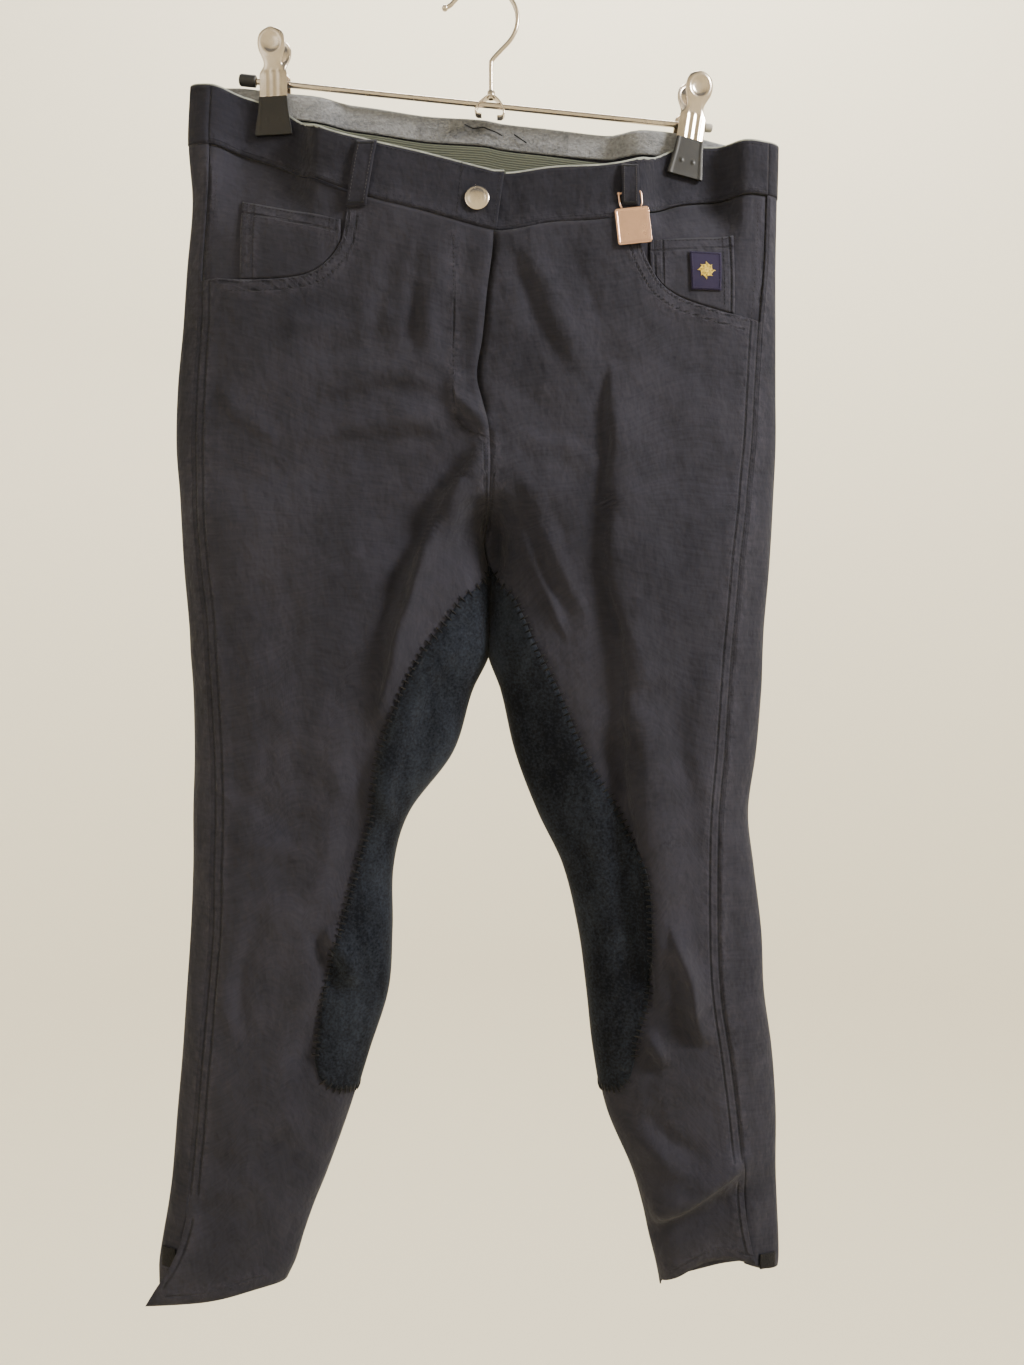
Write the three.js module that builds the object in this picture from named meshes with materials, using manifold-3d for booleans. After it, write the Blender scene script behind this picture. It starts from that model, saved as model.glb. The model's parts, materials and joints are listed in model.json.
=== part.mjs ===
// Riding breeches hung from a metal clip hanger, in millimetres with +Z up.
// The origin is the inner top of the hook, where the hanger rests on a rail.
// The front faces -Y. The wearer's right leg lies at X below 0.
// The cloth is built as thin walls on one surface for each half of the garment.
// That surface is a soft oval section whose widths and depths change with height.
import * as THREE from 'three';
import { mergeVertices } from 'three/addons/utils/BufferGeometryUtils.js';
import Module from 'manifold-3d';

const wasm = await Module();
wasm.setup();

// Thickness of each kind of cloth, and the gap kept at a seam or between layers.
const PANEL = 1.2;
const BAND = 2.2;
const PATCH = 1.0;
const STRIP = 1.0;
const LOOP = 1.2;
const GAP = 0.3;

// The soft oval: 2 would be an ellipse, more is squarer.
const SQUARENESS = 2.3;
const ROUND = 2 / SQUARENESS;

// Heights that the rows of the panels are counted from, before the waist and hem are shaped.
const WAIST_LEVEL = -150;
const HEM_LEVEL = -985;
const WAIST_SHAPING_ENDS = -345;
const HEM_SHAPING_STARTS = -880;

// The rise closes into the crotch between these heights, and the legs part at the last one.
const RISE_STRAIGHT_TO = -372;
const CROTCH = -426;
const LEGS_PART = -505;
// How far each inner leg stands off the centre line once it is a closed tube.
const INNER_LEG_CLEARANCE = 2.3;
// Below the top of an ankle slit the front flap lifts clear over this length.
const SLIT_LIFT_LENGTH = 21;

const ROW_LEVELS = [
  -150, -180, -212, -242, -275, -308, -342, -372, -392, -409, -426, -440, -460, -482, -505,
  -530, -560, -593, -626, -660, -695, -730, -765, -800, -832, -866, -900, -922, -943, -964, -985,
];
const SEAT_PATCH = { backTop: -212, frontTop: -440, bottom: -832 };

// Columns of cells between the lines that run down each half.
const CELLS = { innerFront: 4, outerFront: 9, outerBack: 12, innerBack: 4 };

// Heights of the waistband's edges across the garment, at the front and at the back.
const WAIST = [
  { x: -223, frontTop: -77, frontSeam: -121, backTop: -77, backSeam: -121 },
  { x: -190, frontTop: -83, frontSeam: -127, backTop: -75, backSeam: -119 },
  { x: -155, frontTop: -95, frontSeam: -139, backTop: -80, backSeam: -123 },
  { x: -120, frontTop: -117, frontSeam: -157, backTop: -84, backSeam: -127 },
  { x: -85, frontTop: -128, frontSeam: -170, backTop: -88, backSeam: -131 },
  { x: -45, frontTop: -138, frontSeam: -181, backTop: -94, backSeam: -137 },
  { x: 0, frontTop: -150, frontSeam: -194, backTop: -97, backSeam: -140 },
  { x: 15, frontTop: -153, frontSeam: -196, backTop: -100, backSeam: -143 },
  { x: 50, frontTop: -149, frontSeam: -190, backTop: -104, backSeam: -147 },
  { x: 90, frontTop: -147, frontSeam: -187, backTop: -109, backSeam: -151 },
  { x: 120, frontTop: -140, frontSeam: -180, backTop: -111, backSeam: -153 },
  { x: 150, frontTop: -125, frontSeam: -168, backTop: -112, backSeam: -155 },
  { x: 190, frontTop: -123, frontSeam: -163, backTop: -118, backSeam: -159 },
  { x: 223, frontTop: -123, frontSeam: -162, backTop: -123, backSeam: -162 },
];

// Heights of the hems.
const HEM = [
  { x: -256, front: -996, back: -976 },
  { x: -235, front: -994, back: -977 },
  { x: -205, front: -990, back: -981 },
  { x: -152, front: -978, back: -978 },
  { x: 130, front: -979, back: -984 },
  { x: 144, front: -974, back: -984 },
  { x: 165, front: -960, back: -981 },
  { x: 183, front: -957, back: -977 },
  { x: 205, front: -965, back: -973 },
  { x: 222, front: -968, back: -969 },
];

// Centre lines of the rise and of the closed thighs: the fly's edge, and the straight back seam.
const FRONT_CENTRE = [
  { z: -70, x: 8 },
  { z: -200, x: 8 },
  { z: -245, x: 3 },
  { z: -275, x: 0 },
  { z: -303, x: -4 },
  { z: -322, x: 0 },
  { z: -345, x: 5 },
  { z: -390, x: 5 },
  { z: -424, x: 1 },
  { z: -453, x: 6 },
  { z: -505, x: 4 },
];
const BACK_CENTRE = [
  { z: -70, x: 8 },
  { z: -390, x: 5 },
  { z: -424, x: 1 },
  { z: -453, x: 6 },
  { z: -505, x: 4 },
];

// outer: the silhouette; inner: the inseam; seam: the side seam, seen on the front face;
// patchFront and patchBack: the seat patch's edges; front and back: depth from the middle.
const LEGS = {
  right: {
    side: -1,
    slitTop: -922,
    flapLift: 3,
    rows: [
      { z: -70, outer: -221, inner: 8, seam: -205, patchFront: -60, patchBack: -50, front: 27, back: 12 },
      { z: -120, outer: -223, inner: 8, seam: -205, patchFront: -60, patchBack: -50, front: 29, back: 12 },
      { z: -165, outer: -220, inner: 8, seam: -207, patchFront: -62, patchBack: -55, front: 31, back: 15 },
      { z: -215, outer: -224, inner: 6, seam: -210, patchFront: -62, patchBack: -60, front: 33, back: 21 },
      { z: -260, outer: -227, inner: 1, seam: -211, patchFront: -60, patchBack: -110, front: 34, back: 27 },
      { z: -305, outer: -231, inner: -4, seam: -214, patchFront: -56, patchBack: -135, front: 35, back: 32 },
      { z: -350, outer: -232, inner: 4, seam: -215, patchFront: -48, patchBack: -148, front: 36, back: 35 },
      { z: -390, outer: -229, inner: 6, seam: -214, patchFront: -34, patchBack: -152, front: 36, back: 37 },
      { z: -440, outer: -226, inner: 4, seam: -210, patchFront: -9, patchBack: -150, front: 36, back: 37 },
      { z: -485, outer: -222, inner: 4, seam: -205, patchFront: -32, patchBack: -143, front: 35, back: 35 },
      { z: -505, outer: -221, inner: 4, seam: -204, patchFront: -44, patchBack: -140, front: 35, back: 34 },
      { z: -533, outer: -219, inner: -9, seam: -202, patchFront: -59, patchBack: -136, front: 34, back: 33 },
      { z: -580, outer: -218, inner: -24, seam: -200, patchFront: -76, patchBack: -130, front: 32, back: 31 },
      { z: -625, outer: -219, inner: -57, seam: -199, patchFront: -83, patchBack: -128, front: 30, back: 29 },
      { z: -665, outer: -219, inner: -69, seam: -200, patchFront: -94, patchBack: -128, front: 29, back: 28 },
      { z: -715, outer: -221, inner: -70, seam: -201, patchFront: -107, patchBack: -128, front: 28, back: 27 },
      { z: -760, outer: -224, inner: -73, seam: -205, patchFront: -119, patchBack: -130, front: 27, back: 27 },
      { z: -805, outer: -227, inner: -87, seam: -209, patchFront: -124, patchBack: -134, front: 26, back: 26 },
      { z: -850, outer: -231, inner: -101, seam: -213, patchFront: -130, patchBack: -145, front: 24, back: 24 },
      { z: -900, outer: -235, inner: -119, seam: -218, patchFront: -145, patchBack: -158, front: 22, back: 21 },
      { z: -922, outer: -238, inner: -128, seam: -220, patchFront: -152, patchBack: -164, front: 21, back: 20 },
      { z: -945, outer: -242, inner: -136, seam: -225, patchFront: -158, patchBack: -170, front: 20, back: 19 },
      { z: -965, outer: -245, inner: -142, seam: -234, patchFront: -164, patchBack: -174, front: 19, back: 18 },
      { z: -980, outer: -245, inner: -149, seam: -244, patchFront: -170, patchBack: -178, front: 18, back: 18 },
      { z: -1000, outer: -245, inner: -155, seam: -256, patchFront: -176, patchBack: -182, front: 17, back: 17 },
    ],
  },
  left: {
    side: 1,
    slitTop: -895,
    flapLift: 2,
    rows: [
      { z: -70, outer: 223, inner: 8, seam: 214, patchFront: 75, patchBack: 65, front: 27, back: 12 },
      { z: -120, outer: 223, inner: 8, seam: 214, patchFront: 75, patchBack: 65, front: 29, back: 12 },
      { z: -165, outer: 222, inner: 8, seam: 213, patchFront: 76, patchBack: 66, front: 31, back: 15 },
      { z: -215, outer: 221, inner: 6, seam: 211, patchFront: 76, patchBack: 72, front: 33, back: 21 },
      { z: -260, outer: 221, inner: 1, seam: 207, patchFront: 74, patchBack: 115, front: 34, back: 27 },
      { z: -305, outer: 221, inner: -4, seam: 204, patchFront: 70, patchBack: 138, front: 35, back: 32 },
      { z: -350, outer: 221, inner: 4, seam: 201, patchFront: 60, patchBack: 148, front: 36, back: 35 },
      { z: -390, outer: 219, inner: 6, seam: 197, patchFront: 42, patchBack: 150, front: 36, back: 37 },
      { z: -440, outer: 216, inner: 6, seam: 191, patchFront: 18, patchBack: 147, front: 36, back: 37 },
      { z: -485, outer: 212, inner: 5, seam: 187, patchFront: 33, patchBack: 141, front: 35, back: 35 },
      { z: -505, outer: 211, inner: 4, seam: 185, patchFront: 42, patchBack: 138, front: 35, back: 34 },
      { z: -533, outer: 210, inner: 14, seam: 183, patchFront: 56, patchBack: 134, front: 34, back: 33 },
      { z: -580, outer: 206, inner: 25, seam: 180, patchFront: 76, patchBack: 130, front: 32, back: 31 },
      { z: -625, outer: 200, inner: 42, seam: 176, patchFront: 101, patchBack: 126, front: 30, back: 29 },
      { z: -665, outer: 204, inner: 61, seam: 175, patchFront: 120, patchBack: 124, front: 29, back: 28 },
      { z: -715, outer: 210, inner: 73, seam: 175, patchFront: 125, patchBack: 124, front: 28, back: 27 },
      { z: -760, outer: 212, inner: 79, seam: 177, patchFront: 123, patchBack: 126, front: 27, back: 27 },
      { z: -805, outer: 218, inner: 84, seam: 184, patchFront: 113, patchBack: 128, front: 26, back: 26 },
      { z: -850, outer: 221, inner: 93, seam: 190, patchFront: 118, patchBack: 135, front: 24, back: 24 },
      { z: -895, outer: 221, inner: 112, seam: 194, patchFront: 130, patchBack: 145, front: 22, back: 21 },
      { z: -922, outer: 222, inner: 120, seam: 195, patchFront: 138, patchBack: 150, front: 21, back: 20 },
      { z: -945, outer: 223, inner: 125, seam: 199, patchFront: 144, patchBack: 155, front: 20, back: 19 },
      { z: -965, outer: 223, inner: 130, seam: 204, patchFront: 150, patchBack: 160, front: 19, back: 18 },
      { z: -980, outer: 220, inner: 133, seam: 208, patchFront: 153, patchBack: 163, front: 18, back: 18 },
      { z: -1000, outer: 218, inner: 136, seam: 211, patchFront: 156, patchBack: 166, front: 17, back: 17 },
    ],
  },
};

// The largest folds: a soft ridge (rise above 0) or trough (below 0) along a line.
const FOLDS = [
  { face: 'front', x1: 95, z1: -290, x2: 95, z2: -440, width: 13, rise: -4 },
  { face: 'front', x1: 97, z1: -455, x2: 108, z2: -580, width: 13, rise: -6 },
  { face: 'front', x1: 110, z1: -590, x2: 127, z2: -745, width: 13, rise: -6 },
  { face: 'front', x1: 114, z1: -310, x2: 120, z2: -520, width: 18, rise: 3 },
  { face: 'front', x1: 124, z1: -560, x2: 146, z2: -760, width: 16, rise: 4 },
  { face: 'front', x1: 2, z1: -362, x2: -44, z2: -435, width: 11, rise: 4 },
  { face: 'front', x1: -44, z1: -435, x2: -74, z2: -545, width: 13, rise: 4 },
  { face: 'front', x1: -22, z1: -372, x2: -70, z2: -460, width: 12, rise: -3 },
  { face: 'front', x1: 16, z1: -375, x2: 60, z2: -450, width: 12, rise: 3 },
  { face: 'front', x1: -104, z1: -745, x2: -134, z2: -805, width: 13, rise: -3 },
  { face: 'front', x1: 131, z1: -921, x2: 190, z2: -886, width: 10, rise: 5 },
  { face: 'front', x1: 128, z1: -941, x2: 188, z2: -908, width: 9, rise: -4 },
  { face: 'back', x1: -20, z1: -395, x2: -140, z2: -445, width: 16, rise: -5 },
  { face: 'back', x1: -16, z1: -430, x2: -130, z2: -485, width: 16, rise: 4 },
  { face: 'back', x1: 28, z1: -395, x2: 145, z2: -450, width: 16, rise: -5 },
  { face: 'back', x1: 24, z1: -432, x2: 130, z2: -492, width: 16, rise: 4 },
  { face: 'back', x1: -100, z1: -640, x2: -200, z2: -655, width: 12, rise: -4 },
  { face: 'back', x1: 85, z1: -650, x2: 185, z2: -640, width: 12, rise: -4 },
];

// The front waistband's tab runs past the centre, and the underlap runs back under it.
const TAB = { topX: 16, seamX: 10 };
const CLOSING_X = 8;
const UNDERLAP = { startX: -24, sunk: 2.6, deepUntilX: 20, levelX: 80 };

const POCKETS = {
  right: {
    corner: { x: -222, z: -110 },
    mouth: [
      { x: -99, z: -176 }, { x: -101, z: -188 }, { x: -104, z: -203 }, { x: -115, z: -218 },
      { x: -130, z: -227 }, { x: -152, z: -230 }, { x: -181, z: -229 }, { x: -197, z: -227 },
    ],
    sideZ: -226,
    coin: [{ x: -180, z: -168 }, { x: -105, z: -187 }, { x: -96, z: -240 }, { x: -186, z: -240 }],
  },
  left: {
    corner: { x: 222, z: -140 },
    mouth: [
      { x: 112, z: -182 }, { x: 115, z: -196 }, { x: 118, z: -208 }, { x: 123, z: -220 },
      { x: 133, z: -235 }, { x: 149, z: -245 }, { x: 173, z: -252 }, { x: 196, z: -256 },
    ],
    sideZ: -257,
    coin: [{ x: 124, z: -199 }, { x: 188, z: -194 }, { x: 185, z: -262 }, { x: 128, z: -262 }],
  },
};
// A mouth's curve in straight pieces, and how far its cut runs past the garment's edges.
const MOUTH = { pieces: 18, beyondSide: 30, aboveWaist: 60 };
const FACING_UNDERLAP = 8;
// Pocket pieces are made down to this height, well below the mouths.
const POCKET_ZONE_END = -300;
// What is cut out of the garment's front lies between these depths.
const FRONT_ZONE = { near: -80, far: 4 };
const BADGE = { x1: 153, x2: 177, z1: -209, z2: -238, taper: 1, thick: 1 };
const HOOK_TAPES = [
  { leg: 'right', x1: -241, x2: -228, z1: -950, z2: -966 },
  { leg: 'left', x1: 205, x2: 219, z1: -953, z2: -965 },
];
const TAPE = 0.8;
const TAPE_COLUMNS = 4;

const BELT_LOOPS = [
  { name: 'belt_loop_right', leg: 'right', face: 'front', topX: -85, lowX: -93, top: -129, low: -178, width: 15, bow: 2 },
  { name: 'belt_loop_left', leg: 'left', face: 'front', topX: 108, lowX: 108, top: -147, low: -177, width: 12, bow: 2.8 },
  { name: 'belt_loop_back', leg: 'left', face: 'back', topX: 22, lowX: 22, top: -104, low: -150, width: 14, bow: 2 },
];

const SNAP = { x: -4, z: -173, radius: 9, height: 3.2 };

// The small plate hangs on a wire bail whose crossbar lies behind the left belt loop.
const TRIM = {
  x: 108, z: -168, tilt: 6, wire: 0.75, halfBar: 8.2, standOff: 2.5, drop: 11.5,
  width: 25, height: 27, thick: 1.4, rim: 1.6, rimHeight: 0.5, clearance: 0.9,
};

const HOOK = { radius: 24.1, wire: 1.7, stemX: 5.7, kinkZ: -56, stemEnd: -81, ball: 2.5, ballX: -29.2, ballZ: -15.8 };
const ROD = { radius: 2.25, left: -181, right: 168, x: -40.7, z: -85.1, slope: -0.1028 };
const ROD_CAPS = [
  { name: 'rod_cap_right', x: -185.5, length: 13, radius: 4.5, inward: 1, colour: 0x141416 },
  { name: 'rod_cap_left', x: 174, length: 6, radius: 3.2, inward: -1, colour: 0x8c8a86 },
];
const CAP_END_WALL = 3;
// The rod runs right through the saddle, and the stem ends inside it.
const SADDLE = { depth: 8, rodBoreX: 5, rodBoreLength: 60, stemBoreLength: 20 };

// Each clip's place on the rod, where its jaws grip, its lean in the front view and its turn.
const CLIPS = [
  { name: 'clip_right', x: -158, jawX: -157.5, lean: -1.3, turn: -5, jawBottom: -117 },
  { name: 'clip_left', x: 156.5, jawX: 151, lean: 9.5, turn: 13, jawBottom: -147 },
];
// Half the distance between the two waistbands' middles in a clip, and the pinch's reach.
const PINCH = { half: 3.4, hold: 0.98, towardCentre: 29, towardSide: 38, back: 44, fade: 85 };
// Half the clip, seen from the front: z from the rod, half width, and y of the plate's middle.
const CLIP_HANDLE = [
  { z: 37.5, half: 2.5, y: 10.6 },
  { z: 35.8, half: 6.2, y: 10.4 },
  { z: 32, half: 9, y: 10 },
  { z: 27, half: 10.3, y: 9.4 },
  { z: 22, half: 10.1, y: 8.7 },
  { z: 17, half: 8.4, y: 7.9 },
  { z: 13, half: 6.8, y: 7.1 },
  { z: 9, half: 7, y: 6.3 },
  { z: 5.5, half: 10, y: 5.9 },
  { z: 0, half: 10.3, y: 5.9 },
  { z: -7, half: 10.3, y: 6.1 },
  { z: -13, half: 10.4, y: 6.4 },
];
const CLIP_JAW = [
  { z: -13.3, half: 10.6, y: 7.05 },
  { z: -22, half: 11.2, y: 7.05 },
  { z: -32, half: 12.6, y: 7.05 },
  { z: -39, half: 13.7, y: 7.05 },
  { z: -42.5, half: 13.9, y: 7.2 },
];
const CLIP_METAL = 1.2;
const CLIP_DIP = 2.4;
const BARREL = { outer: 4.9, bore: 4, half: 5 };

// Reads one column of a table at a height or width, as a smooth curve through its rows.
function column(table, key, place, axis = 'z') {
  const rising = table[0][axis] < table[table.length - 1][axis];
  const rows = rising ? table : [...table].reverse();
  let i = 0;
  while (i < rows.length - 2 && place > rows[i + 1][axis]) i += 1;
  const a = rows[i];
  const b = rows[i + 1];
  const before = rows[Math.max(i - 1, 0)];
  const after = rows[Math.min(i + 2, rows.length - 1)];
  const span = b[axis] - a[axis];
  const t = THREE.MathUtils.clamp((place - a[axis]) / span, 0, 1);
  const slopeA = (b[key] - before[key]) / (b[axis] - before[axis]);
  const slopeB = (after[key] - a[key]) / (after[axis] - a[axis]);
  const t2 = t * t;
  const t3 = t2 * t;
  return (
    (2 * t3 - 3 * t2 + 1) * a[key] +
    (t3 - 2 * t2 + t) * span * slopeA +
    (3 * t2 - 2 * t3) * b[key] +
    (t3 - t2) * span * slopeB
  );
}

const power = (value) => Math.sign(value) * Math.abs(value) ** ROUND;
const unpower = (value) => Math.sign(value) * Math.abs(value) ** (1 / ROUND);
const ease = (value, from, to) => THREE.MathUtils.smoothstep(value, from, to);

// 1 where the halves are open at the centre, 0 where the leg is a closed tube.
const openness = (z) => ease(z, CROTCH, RISE_STRAIGHT_TO);
const startAngle = (z) => (Math.PI / 2) * openness(z);

const faceOf = (angle) => (Math.sin(angle) > 0 ? 'front' : 'back');
const centreX = (face, z) => column(face === 'front' ? FRONT_CENTRE : BACK_CENTRE, 'x', z);

function innerX(leg, z, face) {
  const line = z > LEGS_PART ? centreX(face, z) : column(leg.rows, 'inner', z);
  return line + leg.side * INNER_LEG_CLEARANCE * (1 - openness(z)) ** 2;
}

function foldHeight(face, x, z) {
  let total = 0;
  for (const fold of FOLDS) {
    if (fold.face !== face) continue;
    const along = new THREE.Vector2(fold.x2 - fold.x1, fold.z2 - fold.z1);
    const from = new THREE.Vector2(x - fold.x1, z - fold.z1);
    const t = THREE.MathUtils.clamp(from.dot(along) / along.lengthSq(), 0, 1);
    const distance = from.sub(along.multiplyScalar(t)).length();
    total += fold.rise * Math.exp(-((distance / fold.width) ** 2));
  }
  return total;
}

// The waist is held flat in each clip, and the hold fades out below the jaws.
function pinch(x, y, z) {
  let result = y;
  for (const clip of CLIPS) {
    const outside = (x - clip.jawX) * Math.sign(clip.jawX) > 0;
    const frontReach = outside ? PINCH.towardSide : PINCH.towardCentre;
    const reach = y < 0 ? frontReach : PINCH.back;
    const near = Math.exp(-(Math.abs((x - clip.jawX) / reach) ** 6));
    const fade = ease(z, clip.jawBottom - PINCH.fade, clip.jawBottom - 5);
    const turned = (x - clip.x) * Math.tan(THREE.MathUtils.degToRad(clip.turn));
    const target = Math.sign(y) * PINCH.half + turned;
    result += (target - result) * PINCH.hold * near * fade;
  }
  return result;
}

// A point of the garment's middle surface. The angle runs from the inseam (0) over the
// front to the outer edge (pi) and over the back to the inseam again (2 pi).
function surface(leg, angle, z) {
  const start = power(Math.cos(startAngle(z)));
  const across = (start - power(Math.cos(angle))) / (start + 1);
  const face = faceOf(angle);
  const inner = innerX(leg, z, face);
  const x = inner + (column(leg.rows, 'outer', z) - inner) * across;
  const sine = Math.sin(angle);
  const depth = column(leg.rows, face, z);
  const flatness = Math.min(1, Math.abs(sine) * 2);
  const fold = foldHeight(face, x, z) * flatness;
  const y = -power(sine) * depth;
  return new THREE.Vector3(x, pinch(x, y, z) - Math.sign(sine) * fold, z);
}

function angleAt(leg, x, z, face) {
  const start = power(Math.cos(startAngle(z)));
  const inner = innerX(leg, z, face);
  const across = (x - inner) / (column(leg.rows, 'outer', z) - inner);
  const cosine = THREE.MathUtils.clamp(unpower(start - across * (start + 1)), -1, 1);
  const angle = Math.acos(cosine);
  return face === 'front' ? angle : 2 * Math.PI - angle;
}

// A point with its outward direction, and the leg's side for keeping off the centre line.
function site(leg, angle, z) {
  const step = 0.01;
  const rise = 1.5;
  const turn = surface(leg, angle + step, z).sub(surface(leg, angle - step, z));
  const up = surface(leg, angle, z + rise).sub(surface(leg, angle, z - rise));
  const normal = turn.cross(up).multiplyScalar(leg.side).normalize();
  return { leg, face: faceOf(angle), point: surface(leg, angle, z), normal };
}

const siteAt = (leg, x, z, face) => site(leg, angleAt(leg, x, z, face), z);

// Heights are shaped at the waist and the hem by where a column meets them.
function shapedHeight(leg, angle, level) {
  const face = faceOf(angle);
  const share = (1 - power(Math.cos(angle))) / 2;
  const waistSpan = column(leg.rows, 'outer', WAIST_LEVEL) - CLOSING_X;
  const waistX = CLOSING_X + waistSpan * Math.max(0, -power(Math.cos(angle)));
  const hemInner = column(leg.rows, 'inner', HEM_LEVEL);
  const hemX = hemInner + (column(leg.rows, 'outer', HEM_LEVEL) - hemInner) * share;
  const waist = column(WAIST, `${face}Seam`, waistX, 'x') - WAIST_LEVEL;
  const hem = column(HEM, face, hemX, 'x') - HEM_LEVEL;
  const nearWaist = ease(level, WAIST_SHAPING_ENDS, WAIST_LEVEL);
  const nearHem = 1 - ease(level, HEM_LEVEL, HEM_SHAPING_STARTS);
  return level + nearWaist * waist + nearHem * hem;
}

const spread = (from, to, count) =>
  Array.from({ length: count + 1 }, (unused, i) => from + ((to - from) * i) / count);

// Where the back panel starts: at the side seam, and below the slit on a line of its own,
// which keeps to the flap's edge until the flap has lifted clear.
const wrapX = (leg, z) => column(leg.rows, 'seam', Math.max(z, leg.slitTop - SLIT_LIFT_LENGTH));

// The angles of one row's columns, in two runs: front panel, then back panel.
function rowAngles(leg, z) {
  const start = startAngle(z);
  const seam = angleAt(leg, wrapX(leg, z), z, 'front');
  const patchFront = angleAt(leg, column(leg.rows, 'patchFront', z), z, 'front');
  const patchBack = angleAt(leg, column(leg.rows, 'patchBack', z), z, 'back');
  return {
    front: [...spread(start, patchFront, CELLS.innerFront), ...spread(patchFront, seam, CELLS.outerFront).slice(1)],
    back: [
      ...spread(seam, patchBack, CELLS.outerBack),
      ...spread(patchBack, 2 * Math.PI - start, CELLS.innerBack).slice(1),
    ],
  };
}

// Below the slit the front flap runs on to its own edge and lifts off the back.
function liftFlap(leg, place, share, z) {
  const free = ease(leg.slitTop - z, 0, SLIT_LIFT_LENGTH);
  place.point.x += (column(leg.rows, 'seam', z) - wrapX(leg, z)) * share ** 3;
  place.point.y -= leg.flapLift * share ** 3 * free;
}

// One half's panel as rows of sites. trim moves the edges off the seams by half the gap.
function panelGrid(leg, face, trim = GAP / 2) {
  return ROW_LEVELS.map((level, row) => {
    const angles = rowAngles(leg, level)[face];
    const count = angles.length - 1;
    return angles.map((flatAngle, i) => {
      const angle = rowAngles(leg, shapedHeight(leg, flatAngle, level))[face][i];
      const z = shapedHeight(leg, angle, level) - (row === 0 ? trim : 0);
      const place = site(leg, angle, z);
      const towards = i === 0 ? 1 : -1;
      if (i === 0 || i === count) {
        const along = surface(leg, angle + towards * 0.02, z).sub(place.point).normalize();
        place.point.addScaledVector(along, trim);
      }
      if (face === 'front' && z < leg.slitTop) liftFlap(leg, place, i / count, z);
      return place;
    });
  });
}

// A layer's corner: moved out along the surface's direction, and kept off the centre line.
function layerPoint(place, offset) {
  const moved = place.point.clone().addScaledVector(place.normal, offset);
  if (place.leg && moved.z > LEGS_PART && !place.crosses) {
    const limit = centreX(place.face, moved.z) + (place.leg.side * GAP) / 2;
    moved.x = place.leg.side > 0 ? Math.max(moved.x, limit) : Math.min(moved.x, limit);
  }
  return moved;
}

// A closed wall over the kept cells of a grid, between two offsets from its surface.
function wall(grid, low, high, keep = () => true) {
  const positions = [];
  const indices = [];
  const numbers = new Map();
  const corner = (i, j, offset) => {
    const key = `${i},${j},${offset}`;
    if (!numbers.has(key)) {
      numbers.set(key, positions.length / 3);
      positions.push(...layerPoint(grid[i][j], offset).toArray());
    }
    return numbers.get(key);
  };
  const kept = (i, j) => i >= 0 && j >= 0 && i < grid.length - 1 && j < grid[0].length - 1 && keep(i, j);
  const quad = (a, b, c, d) => indices.push(a, b, c, a, c, d);
  for (let i = 0; i < grid.length - 1; i += 1) {
    for (let j = 0; j < grid[0].length - 1; j += 1) {
      if (!kept(i, j)) continue;
      const ring = [[i, j], [i, j + 1], [i + 1, j + 1], [i + 1, j]];
      const falling = grid[i][j].point.distanceTo(grid[i + 1][j + 1].point);
      const rising = grid[i][j + 1].point.distanceTo(grid[i + 1][j].point);
      const turned = falling <= rising ? ring : [ring[1], ring[2], ring[3], ring[0]];
      quad(...turned.map(([r, c]) => corner(r, c, high)));
      const [a, b, c, d] = turned.map(([r, col]) => corner(r, col, low));
      quad(a, d, c, b);
      const neighbours = [[i - 1, j], [i, j + 1], [i + 1, j], [i, j - 1]];
      neighbours.forEach(([r, col], k) => {
        if (kept(r, col)) return;
        const [from, to] = [ring[k], ring[(k + 1) % 4]];
        quad(corner(...from, high), corner(...from, low), corner(...to, low), corner(...to, high));
      });
    }
  }
  return outward(positions, indices);
}

// Turns a closed mesh so that its faces point out.
function outward(positions, indices) {
  const at = (i) => new THREE.Vector3().fromArray(positions, 3 * i);
  let volume = 0;
  for (let i = 0; i < indices.length; i += 3) {
    volume += at(indices[i]).dot(at(indices[i + 1]).cross(at(indices[i + 2])));
  }
  const faces = volume > 0 ? indices : [...indices].reverse();
  const geometry = new THREE.BufferGeometry();
  geometry.setAttribute('position', new THREE.Float32BufferAttribute(positions, 3));
  geometry.setIndex(faces);
  geometry.computeVertexNormals();
  return geometry;
}

function toSolid(geometry) {
  const bare = geometry.clone();
  bare.deleteAttribute('normal');
  bare.deleteAttribute('uv');
  const merged = mergeVertices(bare, 1e-4);
  return new wasm.Manifold(new wasm.Mesh({
    numProp: 3,
    vertProperties: new Float32Array(merged.attributes.position.array),
    triVerts: new Uint32Array(merged.index.array),
  }));
}

function fromSolid(solid) {
  const mesh = solid.getMesh();
  const geometry = new THREE.BufferGeometry();
  geometry.setAttribute('position', new THREE.Float32BufferAttribute(mesh.vertProperties, 3));
  geometry.setIndex(new THREE.Uint32BufferAttribute(mesh.triVerts, 1));
  geometry.computeVertexNormals();
  return geometry;
}

// The main body of a cut wall, without the slivers that a cut can leave at its edge.
function mainBody(solid) {
  return solid.decompose().reduce((best, body) => (body.volume() > best.volume() ? body : best));
}

// A prism over an outline drawn in the front view, from y1 to y2.
function frontPrism(outline, y1 = FRONT_ZONE.near, y2 = FRONT_ZONE.far) {
  const shape = new THREE.Shape(outline.map((p) => new THREE.Vector2(p.x, p.z)));
  const geometry = new THREE.ExtrudeGeometry(shape, { depth: y2 - y1, bevelEnabled: false });
  geometry.rotateX(Math.PI / 2);
  geometry.translate(0, y2, 0);
  return toSolid(geometry);
}

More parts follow.
